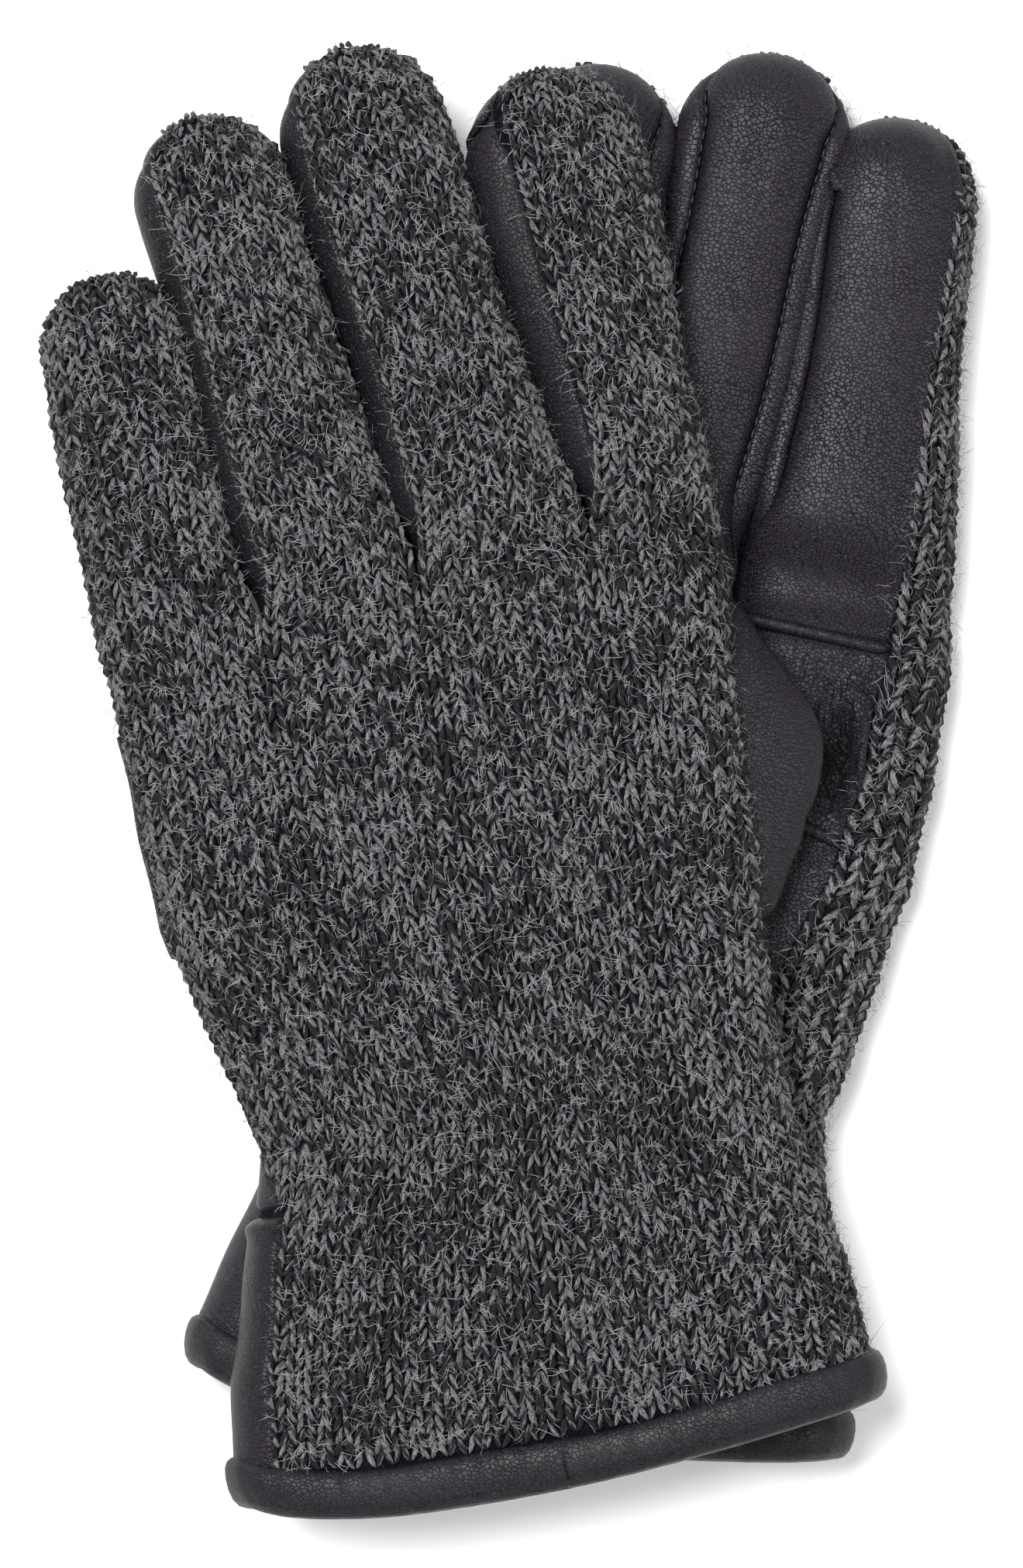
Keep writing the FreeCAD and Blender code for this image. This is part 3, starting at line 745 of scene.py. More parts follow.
# %% Stitch mesh
def stitch_mesh():
    verts, faces, along, cosines, sines = [], [], [], [], []
    sides = 5
    for hand in (-1, 1):
        foot, top = np.array([0.14 * hand, -2.0, 0.05]), np.array([1.2 * hand, 1.6, -0.75])
        first = len(verts)
        for part, girth in ((0.0, 0.0), (0.16, 0.42), (0.45, 0.60), (0.8, 0.46), (1.0, 0.0)):
            bow = math.sin(part * math.pi)
            middle = mix(foot, top, part) + np.array([0.22 * hand * bow, 0, 0.62 * bow])
            count = 1 if girth == 0 else sides
            for k in range(count):
                angle = 2 * math.pi * k / sides
                verts.append(middle + girth * np.array([math.cos(angle), 0, math.sin(angle)]))
                along.append((part if hand > 0 else -part) * 2.4)
                cosines.append(math.cos(angle) if girth else 0.0)
                sines.append(math.sin(angle) if girth else 0.6)
        rings = [first + 1 + sides * k for k in range(3)]
        for k in range(sides):
            after = (k + 1) % sides
            faces.append((first, rings[0] + after, rings[0] + k))
            for low, high in zip(rings, rings[1:]):
                faces.append((low + k, low + after, high + after, high + k))
            faces.append((rings[2] + k, rings[2] + after, rings[2] + sides))
    mesh = bpy.data.meshes.new("stitch")
    mesh.from_pydata([tuple(v * MM) for v in verts], [], [f[::-1] for f in faces])
    for key, values in (("along", along), ("round_c", cosines), ("round_s", sines)):
        give(mesh, key, values)
    mesh.shade_smooth()
    return bpy.data.objects.new("stitch", mesh)


stitch = stitch_mesh()
print("triangles in a stitch:", sum(len(f.vertices) - 2 for f in stitch.data.polygons))

# %% [markdown]
# ## Where the stitches go
# The wales, the columns of stitches, run up the hand and on up the fingers.  The courses, the rows,
# lie one stitch height apart and follow the bowed hem at the cuff.  Each stitch becomes one point
# that knows which way is up the wale, which way is out, how wide it is, and where its yarn is in
# its twist.  The twist drifts along a course, and that drift makes the flecks of ragg knitting.


# %% Stitch points
PANEL_TOP = 50.0                 # v where the leather of the cuff ends
TAB_TOP = 63.0                   # v where the last of the leather above it ends
STITCH = (3.1, 2.2)              # width and height that the stitch mesh is made for, in mm
LEAST_STITCH = (1.1, 0.9)        # a stitch squeezed narrower or lower than this is left out


def panel_width(v):
    """How far the cuff panel comes onto the back, in plan."""
    return np.interp(v, (0, 7, 46, 50, 60, TAB_TOP), (7.6, 7.4, 5.6, 5.2, 0.6, -2.0))


def cell_middles(values):
    """Mean of the four corners of every cell of a grid."""
    return (values[1:, 1:] + values[1:, :-1] + values[:-1, 1:] + values[:-1, :-1]) / 4


def stitch_grid(glove, name, first, last):
    """Corners of a finger strip's stitches, and which of them belong to the glove."""
    root, _, _, length = glove.lines[name]
    end = root[1] + length
    course = np.arange(first, last + 1) * COURSE
    wale = np.linspace(0, 1, WALES[name] + 1)
    v, share = np.meshgrid(course, wale, indexing="ij")
    before = sum(WALES[n] for n in FINGERS[:FINGERS.index(name)])
    spread = ((before + share * WALES[name]) / sum(WALES.values())) * 2 - 1
    v = v + hem_bow(spread) * smooth((55 - v) / 60)
    left, right = (float(x) for x in glove.finger_knit(name, np.array(length)))
    reach, over = mix(-left, right, share), np.maximum(v - end, 0)
    low = glove.strip(name, share, np.minimum(v, end), 1, 0.35)
    high = glove.finger(name, reach, length + over, 1, 0.35)
    points = np.where((v > end)[..., None], high, low)
    reach, over = cell_middles(reach), cell_middles(over)
    edge = glove.dome_reach(name, np.arctan2(over, reach), 1)
    u, v = cell_middles(points[..., 0]), cell_middles(points[..., 1])
    panel = (v < TAB_TOP) & (u < glove.edges(v)[0] + panel_width(v) - 0.6)
    return points, ((over <= 0) | (np.hypot(reach, over) < edge - 0.2)) & ~panel


def stitch_points(glove, first, last, part, seed):
    """Vertices for all stitches of one glove between two courses."""
    rng = np.random.default_rng(seed)
    places, wales, outs, sizes, phases = [], [], [], [], []
    for number, name in enumerate(FINGERS):
        corners, keep = stitch_grid(glove, name, first, last)
        corners = glove.plan.place(corners)
        a, b, c, d = corners[:-1, :-1], corners[:-1, 1:], corners[1:, 1:], corners[1:, :-1]
        centre, wale, across = (a + b + c + d) / 4, (c + d - a - b) / 2, (b + c - a - d) / 2
        out = np.cross(across, wale) * (1 if glove.plan.turned else -1)
        tall, wide = np.linalg.norm(wale, axis=-1), np.linalg.norm(across, axis=-1)
        keep = keep & (wide > LEAST_STITCH[0] * MM) & (tall > LEAST_STITCH[1] * MM)
        row, column = np.indices(keep.shape)
        row, column = row + first, column + sum(WALES[n] for n in FINGERS[:number])
        phase = (column * 1.37 + row * 2.1 + 1.4 * np.sin(row * 1.7 + column * 0.21)
                 + 1.2 * np.sin(column * 0.33 + row * 0.9) + rng.normal(0, 0.25, keep.shape))
        shake = rng.normal(0, 1, keep.shape + (3,))
        centre = centre + shake * (0.00013, 0.00013, 0.0001)
        wale = wale / tall[..., None] + shake[..., ::-1] * 0.07
        height = tall / (STITCH[1] * MM) * (1 + 0.04 * shake[..., 0])
        size = np.stack([wide / (STITCH[0] * MM), height, np.ones_like(wide)], -1)
        for store, value in ((places, centre), (wales, wale), (outs, out), (sizes, size),
                             (phases, phase)):
            store.append(value[keep])
    mesh = bpy.data.meshes.new(f"{glove.side}_{part}")
    mesh.from_pydata(np.concatenate(places).tolist(), [], [])
    for key, parts in (("wale", wales), ("out", outs), ("size", sizes), ("phase", phases)):
        give(mesh, key, np.concatenate(parts))
    return linked(mesh.name, mesh)


# %% [markdown]
# ## Knitting with Geometry Nodes
# The tree puts one stitch on each point, turned so that its Z axis looks out and its Y axis runs up
# the wale.  It ends in Realize Instances and Set Material, so that the result is a plain mesh.


# %% Stitch tree
def new_tree(name, **inputs):
    """A tree with the inputs named, its input node, and what a modifier calls each input."""
    tree = bpy.data.node_groups.new(name, "GeometryNodeTree")
    for way in ("INPUT", "OUTPUT"):
        tree.interface.new_socket("Geometry", in_out=way, socket_type="NodeSocketGeometry")
    ids = {}
    for key, kind in inputs.items():
        socket = tree.interface.new_socket(key, in_out="INPUT", socket_type="NodeSocket" + kind)
        ids[key] = socket.identifier
    return tree, tree.nodes.new("NodeGroupInput"), ids


def named(tree, name):
    """The vector that each point has under a name."""
    node = add_node(tree, "GeometryNodeInputNamedAttribute", {"data_type": "FLOAT_VECTOR"}, Name=name)
    return node.outputs["Attribute"]


def close_tree(tree, copies, finish):
    """Ends a tree with real copies that have their material."""
    real = add_node(tree, "GeometryNodeRealizeInstances", Geometry=copies.outputs[0])
    done = add_node(tree, "GeometryNodeSetMaterial", Geometry=real.outputs[0], Material=finish)
    join(tree, add_node(tree, "NodeGroupOutput").inputs[0], done.outputs[0])


def placing_tree(name):
    """A piece on each point, turned by its out and wale and scaled by its size."""
    tree, start, ids = new_tree(name, Piece="Object", Finish="Material")
    piece = add_node(tree, "GeometryNodeObjectInfo", Object=start.outputs["Piece"], As_Instance=True)
    turn = add_node(tree, "FunctionNodeAxesToRotation", {"primary_axis": "Z", "secondary_axis": "Y"},
                    Primary_Axis=named(tree, "out"), Secondary_Axis=named(tree, "wale"))
    copies = add_node(tree, "GeometryNodeInstanceOnPoints", Points=start.outputs["Geometry"],
                      Instance=piece.outputs["Geometry"], Rotation=turn.outputs[0],
                      Scale=named(tree, "size"))
    close_tree(tree, copies, start.outputs["Finish"])
    return tree, ids


def bake_nodes(thing, tree, ids, **inputs):
    """Runs a tree on an object and leaves its result as a plain mesh."""
    modifier = thing.modifiers.new("nodes", "NODES")
    modifier.node_group = tree
    for key, value in inputs.items():
        modifier[ids[key]] = value
    depsgraph = bpy.context.evaluated_depsgraph_get()
    result = bpy.data.meshes.new_from_object(thing.evaluated_get(depsgraph))
    thing.modifiers.clear()
    thing.data = result
    result.name = thing.name
    return thing


placing, placing_ids = placing_tree("place_pieces")
bpy.context.scene.collection.objects.link(stitch)
knits = {}
for side, glove in gloves.items():
    top = int(max(line[0][1] + line[3] for line in glove.lines.values()) / COURSE) + 12
    for part, first, last, seed in (("knit_hand", 2, 63, 11), ("knit_fingers", 63, top, 23)):
        thing = stitch_points(glove, first, last, part, seed + (side == "left"))
        count = len(thing.data.vertices)
        knits[side, part] = bake_nodes(thing, placing, placing_ids, Piece=stitch,
                                       Finish=finishes["wool"])
        print(side, part, count, "stitches,", len(thing.data.polygons), "faces")
bpy.data.objects.remove(stitch)

# %% [markdown]
# ## Leather fronts
# Each finger front is a strip of leather, puffed by the wool and the lining beneath, and drawn in
# at its two seams.  The palm below is one piece with them.  The index front is cut apart, because
# it is the leather that works a touch screen.


# %% Leather sheets
def puff(depth, swell, lap=0):
    """Lift of a leather strip: low at its seams and high inside; at its lap it covers knitting."""
    def lift(v, place, reach):
        inside = (1 - np.abs(place)) * reach
        low = np.where(place * lap > 0, -0.55, depth)
        round_ = swell * np.sin(np.clip(inside / reach, 0, 1) * math.pi / 2)
        return -low + low * smooth(inside / 2.2) + round_
    return lift


def relief(glove, u, v):
    """Folds of the palm where the thumb is turned in: a mound, a pinch, and creases that run to it."""
    thumb_u, thumb_v = glove.data["thumb"][:2]
    pinch_u, pinch_v = glove.data["pinch"]
    away = np.hypot(u - thumb_u, (v - thumb_v) * 1.05)
    mound = 1.0 * smooth((19 - away) / 10)
    du, dv = u - pinch_u, v - pinch_v
    near, turn = np.hypot(du, dv), np.arctan2(dv, du)
    creases = 0.5 * np.exp(-(near / 11) ** 2) * np.sin(turn * 9 + near * 0.35) * smooth(near / 4)
    roll_u = pinch_u + 7.4 - dv * 0.10 - 0.012 * dv ** 2
    roll = 3.2 * np.exp(-((u - roll_u) / 2.2) ** 2) * np.exp(-((dv + 1) / 11) ** 4)
    gully = -2.0 * np.exp(-((u - roll_u + 4.6) / 2.3) ** 2) * np.exp(-((dv + 2) / 9) ** 4)
    return mound + creases + roll + gully - 0.5 * np.exp(-(near / 4) ** 2)


def fronts(glove, names, piece, start, stop=None):
    """Leather from start up; at stop the palm ends and the index finger's own front begins."""
    sheet = Patchwork(f"{glove.side}_{piece}", glove.side)
    palm = piece != "index_front"
    pinch_u, pinch_v = glove.data["pinch"]
    for name in names:
        shape = puff(SEAM_DEPTH, 0.7, {"little": -1, "index": 1}.get(name, 0))
        places = columns(14, 14)
        root_v = glove.lines[name][0][1]
        ends = name == "index" and stop is not None
        rows = np.arange(start, stop, 1.0) if ends else strip_rows(glove, name, start, 1.2)
        bare = strip_sheet(glove, name, -1, rows, places, 0.0)
        bare_u, bare_v = bare[..., 0], bare[..., 1]
        folded = relief(glove, bare_u, bare_v) * smooth((bare_u - 8) / 8)

        def lift(v, place, reach):
            opened = smooth((v - root_v - 4) / 14)
            puffed = shape(v, place, reach) * opened
            if not palm:
                return puffed - 1.1 * (1 - opened) + 1.9 * smooth((v - start) / 7) * (1 - opened)
            return puffed + folded - 1.2 * (smooth((v - stop + 4) / 4) if ends else 0)

        def tip_lift(ring, angle, edge):
            return shape(0, ring, edge)

        # Painted shade: hollow marks the dip beside the thumb's pinch, whose leather is painted darker;
        # crease only strengthens the bump of the folds there.
        hollow = ((bare_u - pinch_u - 3.0) / 3.2) ** 2 + ((bare_v - pinch_v + 1) / 8) ** 2
        around = np.hypot((bare_u - pinch_u) / 11, (bare_v - pinch_v) / 17) ** 2
        sheet.grid(strip_sheet(glove, name, -1, rows, places, lift),
                   crease=np.exp(-around) * palm, deep=np.exp(-hollow) * palm)
        if not ends:
            dome = dome_sheet(glove, name, -1, np.linspace(0, math.pi, 37), places[14:], tip_lift)
            sheet.grid(dome, flip=True, crease=0.0, deep=0.0)
    return sheet.build(finishes[glove.side + "_leather"], thickness=1.0)


leathers = {}
for side, glove in gloves.items():
    leathers[side, "palm"] = fronts(glove, FINGERS, "leather_palm", 50.0, glove.data["rib_v"] + 1)
    leathers[side, "index"] = fronts(glove, FINGERS[3:], "index_front", glove.data["rib_v"])

# %% [markdown]
# ## Fourchettes
# A fourchette is the strip that walls a finger's side.  It runs up one finger, round the crotch and
# up the next, so both halves start from the same line at the foot of the slit.


# %% Fourchettes
def wall(glove, name, hand, slit_v):
    """Grid of one half of a fourchette: rows up the finger, columns from the knitting to the front."""
    root, _, _, length = glove.lines[name]
    end = root[1] + length
    rows = np.linspace(slit_v, end, int((end - slit_v) / 1.4))
    down = np.linspace(0, 1, 13)
    v, part = np.meshgrid(rows, down, indexing="ij")
    share = 1.0 if hand > 0 else 0.0
    back = glove.strip(name, share, rows, 1)[:, None]
    front = glove.strip(name, share, rows, -1, -SEAM_DEPTH * smooth((rows - root[1] - 4) / 14))[:, None]
    up = np.clip(v - root[1], 0, length)
    whole = whole_reach(*glove.finger_sizes(name, up))
    knit, seam = glove.finger_knit(name, up), glove.finger_front(name, up)
    knit, seam = (knit[1], seam[1]) if hand > 0 else (knit[0], seam[0])
    reach = mix(knit, whole - seam, part)
    swell = 1.0 * np.sin(part * math.pi) - 1.2 * part ** 6
    curved = glove.finger(name, hand * reach, up, 1, swell)
    straight = mix(back, front, part[..., None])
    opened = smooth((v - slit_v) / OPENS)[..., None]
    return mix(straight, curved, opened)


def tip_turns(hand, last):
    """Directions from one side of a fingertip, right or left, some way round it."""
    turns = np.linspace(0, last, 14)
    return turns if hand > 0 else math.pi - turns


def wall_tip(glove, name, hand):
    """The fourchette's point, which runs a little way round the fingertip."""
    angle, part = np.meshgrid(tip_turns(hand, 1.27), np.linspace(0, 1, 13), indexing="ij")
    end = np.full(angle.shape, glove.lines[name][3])
    whole = whole_reach(*glove.finger_sizes(name, end))
    reach = mix(glove.dome_reach(name, angle, 1), whole - glove.dome_reach(name, angle, -1), part)
    fade = np.linspace(1, 0, 14)[:, None]
    swell = (1.0 * np.sin(part * math.pi) - 1.2 * part ** 6) * fade - 0.9 * (1 - fade)
    return glove.finger_ray(name, end, np.cos(angle), np.sin(angle), reach, 1, swell)


def fourchette(glove, left, right):
    sheet = Patchwork(f"{glove.side}_fourchette_{left}_{right}", glove.side)
    slit_v = glove.slit_v[FINGERS.index(right)]
    sinking = smooth(np.linspace(0, 1, 13) * 2.5 - 0.4)
    for name, hand in ((left, 1), (right, -1)):
        # Painted shade in the upper glove's slits: one wall of each slit is darkened almost to black,
        # the other more the deeper it goes, and least beside the index finger.
        shade = 0.9 if hand > 0 else mix(0.2 if right == "index" else 0.6, 0.95, sinking)
        sheet.grid(wall(glove, name, hand, slit_v), flip=hand > 0, deep=shade * glove.plan.turned)
        sheet.grid(wall_tip(glove, name, hand), flip=hand > 0, deep=0.0)
    return sheet.build(finishes[glove.side + "_leather"], thickness=0.9)


for side, glove in gloves.items():
    for left, right in zip(FINGERS, FINGERS[1:]):
        leathers[side, left] = fourchette(glove, left, right)
print("leather pieces:", len(leathers))

# %% [markdown]
# ## Cuff panel and hem band
# The cuff's palm side is one leather panel that comes a little way round the outer edge onto the
# back.  The hem is bound with a folded leather band that runs right round the opening.


# %% Going round the hand
def sizes_round(glove, v):
    """Half width, half thickness and corner of the hand at v, and half the distance round it."""
    _, *sizes = glove.hand_sizes(v)
    return *sizes, whole_reach(*sizes)


def hand_round(glove, q, v, lift):
    """Point on the hand at a distance q from its outer side, back negative and front positive."""
    whole = sizes_round(glove, v)[-1]
    q = np.where(q > whole, q - whole * 2, q)
    back = glove.hand(-(whole / 2 + q), v, 1, lift)
    front = glove.hand(-(whole / 2 - q), v, -1, lift)
    return np.where((q < 0)[..., None], back, front)


def hem_band(glove):
    """The band: a profile of (height, lift) that goes right round the opening."""
    profile = [(BAND, 0.6), (BAND - 0.05, 1.6), (BAND - 0.5, 2.3), (BAND - 1.6, 2.75),
               (BAND - 3.2, 2.95), (3.2, 2.85), (1.4, 2.4), (0.2, 1.6), (-0.35, 0.6),
               (-0.35, -0.5), (0.4, -1.3), (3.0, -1.8), (BAND, -1.8)]
    turns = np.linspace(0, 1, 321)[:-1]
    whole = float(sizes_round(glove, np.array(3.0))[-1])
    q = turns * whole * 2 - whole / 2
    across = glove_spread(whole, q)
    circle = turns * 2 * math.pi
    crimp = 0.08 * np.sin(circle * 37) + 0.07 * np.sin(circle * 61 + 1) + 0.10 * np.sin(circle * 11 + 2)
    rows = []
    for rise, lift in profile:
        rise = rise * (1 + 0.03 * np.sin(circle * 5))
        v = glove.data["hem"] + hem_bow(across) + rise + 0.15 * crimp
        rows.append(hand_round(glove, q, v, lift + (crimp if lift > 1 else 0)))
    sheet = Patchwork(glove.side + "_cuff_binding", glove.side)
    sheet.grid(np.array(rows), loop=True)
    return sheet.build(finishes[glove.side + "_band"])


def glove_spread(whole, q):
    """-1 to 1 across the hand for a distance q round it."""
    along = np.where(q > whole, q - 2 * whole, q)
    return np.clip((np.abs(along) - whole / 2) / (whole / 2 - 4), -1, 1)


for side, glove in gloves.items():
    leathers[side, "band"] = hem_band(glove)

# %% [markdown]
# The panel's edge is turned under, so its last millimetre dips towards the knitting.


# %% Cuff panel
def layer(glove, name, q_low, q_high, rows, lift, across, up):
    """A leather layer between two distances round the hand and two rows, its edges turned down."""
    part_up, part = np.meshgrid(np.linspace(0, 1, up), np.linspace(0, 1, across), indexing="ij")
    v = mix(*rows, part_up)
    low, high, raised = (x(v) if callable(x) else x for x in (q_low, q_high, lift))
    q = mix(low, high, part)
    from_side, from_end = np.minimum(q - low, high - q), np.minimum(v - rows[0], rows[1] - v)
    from_edge = np.minimum(from_side, from_end * 1.3)
    turned_down = 0.5 * (1 - smooth(from_edge / 0.8))
    sheet = Patchwork(f"{glove.side}_{name}", glove.side)
    sheet.grid(hand_round(glove, q, v, raised * np.sqrt(smooth(from_edge / 1.3)) - turned_down))
    return sheet.build(finishes[glove.side + "_leather"], thickness=0.9)


def cuff_panel(glove):
    """The leather of the cuff, with a rolled upper edge."""
    def on_back(v):
        *sizes, whole = sizes_round(glove, v)
        return -(whole / 2 - reach_of_inset(*sizes, panel_width(v)))

    def on_palm(v):
        *sizes, whole = sizes_round(glove, v)
        return whole / 2 + reach_of_inset(*sizes, glove.knit_wrap(v)) + 1.0

    def rolled(v):
        return 1.3 + 0.9 * np.exp(-((v - PANEL_TOP + 1.6) / 1.6) ** 2)

    return layer(glove, "cuff_panel", on_back, on_palm, (4.0, PANEL_TOP), rolled, 150, 90)


def wrist_tab(glove):
    """The palm's own edge, which shows on the back above the panel and narrows into the wrist."""
    def on_back(v):
        return -9.5 * (1 - smooth((v - 46) / 20)) - 0.4

    def grooved(v):
        return 1.0 - 1.6 * np.exp(-((v - PANEL_TOP - 0.5) / 1.0) ** 2)

    return layer(glove, "wrist_tab", on_back, 14.0, (46.0, 69.0), grooved, 30, 60)


for side, glove in gloves.items():
    leathers[side, "panel"] = cuff_panel(glove)
    leathers[side, "patch"] = layer(glove, "palm_patch", -1.4, 24.0, (96.0, 137.0), 1.3, 40, 50)
    leathers[side, "tab"] = wrist_tab(glove)

# %% [markdown]
# ## Welts and the foot of the thumb
# A welt is a narrow rolled strip sewn into a seam.  It is swept as a tube along the seam's line.
# The gusset at the foot of the thumb swells past the edge of the hand like a small pillow.


# %% Tubes
def tube(sheet, path, girth, sides=10):
    """Adds a tube along plan points; girth is its radius at each of them."""
    path = np.asarray(path, float)
    ahead = np.gradient(path, axis=0)
    ahead /= np.linalg.norm(ahead, axis=1, keepdims=True)
    side_way = np.cross(ahead, (0, 0, 1.0))
    side_way /= np.linalg.norm(side_way, axis=1, keepdims=True)
    upward = np.cross(side_way, ahead)
    turn = np.linspace(0, 2 * math.pi, sides + 1)[:-1]
    turn = turn[None, :, None]
    ring = np.cos(turn) * side_way[:, None] + np.sin(turn) * upward[:, None]
    sheet.grid(path[:, None] + ring * np.asarray(girth)[:, None, None], loop=True, flip=True)
    return sheet


def round_ended(count, radius):
    part = np.linspace(0, 1, count)
    return radius * np.sqrt(np.clip(np.minimum(part, 1 - part) * 12, 0.002, 1))


def welt(glove, name, shares, rises, lift):
    sheet = Patchwork(f"{glove.side}_{name}", glove.side)
    share, v = np.linspace(*shares, 60), np.linspace(*rises, 60)
    path = glove.strip("index", share, v, -1, lift + 0.12 * np.sin(share * 55))
    return tube(sheet, path, round_ended(60, 1.15)).build(finishes[glove.side + "_band"])


def pillow(glove, name, middle, edge, depth, thick, finish):
    """A puffed piece with a round outline: edge gives its radius in each direction."""
    turns = np.linspace(0, 2 * math.pi, 73)[:-1]
    rings = np.sin(np.linspace(0, math.pi / 2, 14))
    ring, angle = np.meshgrid(rings, turns, indexing="ij")
    reach = edge(angle) * ring
    u, v = middle[0] + reach * np.cos(angle), middle[1] + reach * np.sin(angle)
    wave = 0.25 * np.sin(angle * 5 + ring * 4) * ring
    rise = thick * np.sqrt(np.clip(1 - ring ** 2.4, 0, 1)) + wave * 0.6
    sheet = Patchwork(f"{glove.side}_{name}", glove.side)
    sheet.grid(np.stack([u, v, depth - rise], -1), loop=True)
    sheet.grid(np.stack([u, v, depth + rise - 2 * wave * 0.6], -1), loop=True, flip=True)
    return sheet.build(finish)


# radius of each gusset, in mm, at angles round its middle
GUSSETS = {"left": [(-90, 30.0), (-81, 29.0), (-68, 23.2), (-45, 18.9), (-20, 18.4), (0, 18.7),
                    (36, 18.5), (58, 21.6), (76, 28.7), (90, 30.0), (180, 14.0), (270, 30.0)],
           "right": [(-90, 11.0), (0, 10.0), (90, 11.0), (180, 12.0), (270, 11.0)]}
for side, glove in gloves.items():
    middle = {"left": (49.0, 114.0), "right": (21.5, 121.5)}[side]
    depth, thick = {"left": (12.5, 5.4), "right": (11.0, 2.0)}[side]
    angles, radii = zip(*GUSSETS[side])
    edge = lambda a: np.interp((np.degrees(a) + 90) % 360 - 90, angles, radii)
    leathers[side, "gusset"] = pillow(glove, "thumb_gusset", middle, edge, depth, thick,
                                      finishes[side + "_leather"])
    rib = glove.data["rib_v"]
    for name, shares, rises, lift in (("index_welt", (0.02, 1.0), (rib + 1.4, rib - 1.2), 0.1),
                                      ("gusset_welt", (0.5, 1.0), glove.data["low_rib"], 0.5)):
        leathers[side, name] = welt(glove, name, shares, rises, lift)

# %% [markdown]
# ## Thumbs
# Each thumb lies folded over its own palm, flattened between the gloves.  Its front and its back
# are two halves of one puffed tube, and they turn with the thumb's own body.


# %% Thumb halves
def thumb_half(glove, name, half_turn, depth, thick, shrink, finish):
    u, v, wide = glove.data["thumb"]
    reach, tip, droop = 44.0, 10.5, math.radians(12)
    line = np.array([-math.cos(droop), -math.sin(droop)])
    aside = np.array([line[1], -line[0]])
    along = -np.cos(np.linspace(0, math.pi, 40))
    x = mix(-wide, reach + tip, (along + 1) / 2)
    body = mix(wide, tip, np.clip(x / reach, 0, 1))
    near, far = np.clip(-x / wide, 0, 1), np.clip((x - reach) / tip, 0, 1)
    width = body * np.sqrt(np.clip(1 - np.maximum(near, far) ** 2, 0.0004, 1)) - shrink * 0.5
    width = np.maximum(width, 0.2)
    turn = np.linspace(0, math.pi, 25) + (math.pi if half_turn else 0)
    across = np.sign(np.cos(turn)) * np.abs(np.cos(turn)) ** 0.8
    high = np.sign(np.sin(turn)) * np.abs(np.sin(turn)) ** 0.7
    swell = thick * (0.35 + 0.65 * np.clip(width / body, 0, 1)) - shrink
    crease = 0.22 * np.sin(x / 3.1)[:, None] * np.abs(across)[None]
    sideways = (width[:, None] * across[None])[..., None] * aside
    spot = np.array([u, v]) + x[:, None, None] * line + sideways
    down = depth + swell[:, None] * high[None] + crease
    sheet = Patchwork(f"{glove.side}_{name}", glove.side)
    sheet.grid(np.concatenate([spot, down[..., None]], -1))
    return sheet.build(finish, thickness=0.6)


def fleece_finish():
    fleece = Finish("fleece_lining")
    tufts = fleece.noise(fleece.place(), 900.0, 4.0, 0.65)
    nap = fleece.between(tufts, 0.35, 0.7)
    return fleece.surface(Base_Color=fleece.colour(tone(20, 19, 22), tone(64, 62, 68), nap),
                          Roughness=0.95, Normal=fleece.bump(tufts, 0.0006), Specular_IOR_Level=0.1)


THUMB_DEPTH, THUMB_THICK = 13.6, 2.7     # of a thumb's middle, and from there to its surface
finishes["fleece"] = fleece_finish()
thumbs = {}
for side, glove in gloves.items():
    for layer, shrink, finish in (("thumb", 0.0, side + "_leather"), ("thumb_lining", 0.9, "fleece")):
        for half_name, turned in (("front", False), ("back", True)):
            name = f"{layer}_{half_name}"
            thumbs[side, name] = thumb_half(glove, name, turned, THUMB_DEPTH, THUMB_THICK, shrink,
                                            finishes[finish])

# %% [markdown]
# ## Lining
# A fleece tube lines the hand.  Only its mouth shows, inside the hem, but it closes the glove, so
# that no view finds it hollow.


# %% Lining and elastic
def lining(glove):
    sheet = Patchwork(glove.side + "_hand_lining", glove.side)
    rows, turns = np.linspace(1.5, 150, 60), np.linspace(0, 1, 121)[:-1]
    v, turn = np.meshgrid(rows, turns, indexing="ij")
    whole = sizes_round(glove, v)[-1]
    q = turn * whole * 2 - whole / 2
    low = v + hem_bow(glove_spread(whole, q)) * smooth((40 - v) / 40)
    under_pinch = 2.4 * np.exp(-((v - 121) / 14) ** 2)
    lift = -LINING_DEPTH - under_pinch + 0.15 * np.sin(q * 2.1 + v)
    sheet.grid(hand_round(glove, q, low, lift), loop=True)
    return sheet.build(finishes["fleece"], thickness=0.7)


def elastic(glove):
    sheet = Patchwork(glove.side + "_wrist_elastic", glove.side)
    part_v, part = np.meshgrid(np.linspace(-4, 4, 12), np.linspace(-32, 32, 140), indexing="ij")
    v = glove.data["wrist"][0] * 0.5 + glove.data["wrist"][1] * 0.5 + part_v
    sheet.grid(glove.hand(part, v, 1, -3.6 + 0.35 * np.sin(part * 2.6)))
    return sheet.build(finishes["fleece"], thickness=0.6)


for side, glove in gloves.items():
    leathers[side, "lining"], leathers[side, "elastic"] = lining(glove), elastic(glove)

# %% [markdown]
# ## Sewing thread
# The seams of the finger fronts are sewn with a dark thread.  Geometry Nodes put one short stitch
# on each point of a seam, turned along it.


# %% Thread
def thread_mesh():
    verts, faces = [], []
    for part, girth in ((-1.0, 0.05), (-0.6, 0.18), (0.0, 0.22), (0.6, 0.18), (1.0, 0.05)):
        for k in range(6):
            angle = math.pi * k / 3
            rise = girth * math.sin(angle) + 0.12 * (1 - part * part)
            verts.append((girth * math.cos(angle), part * 0.95, rise))
    for ring in range(4):
        for k in range(6):
            a, b = ring * 6 + k, ring * 6 + (k + 1) % 6
            faces.append((b, a, a + 6, b + 6))
    faces += [tuple(range(6)), tuple(range(29, 23, -1))]
    mesh = bpy.data.meshes.new("thread_stitch")
    mesh.from_pydata([tuple(MM * x for x in v) for v in verts], [], faces)
    mesh.shade_smooth()
    return linked("thread_stitch", mesh)


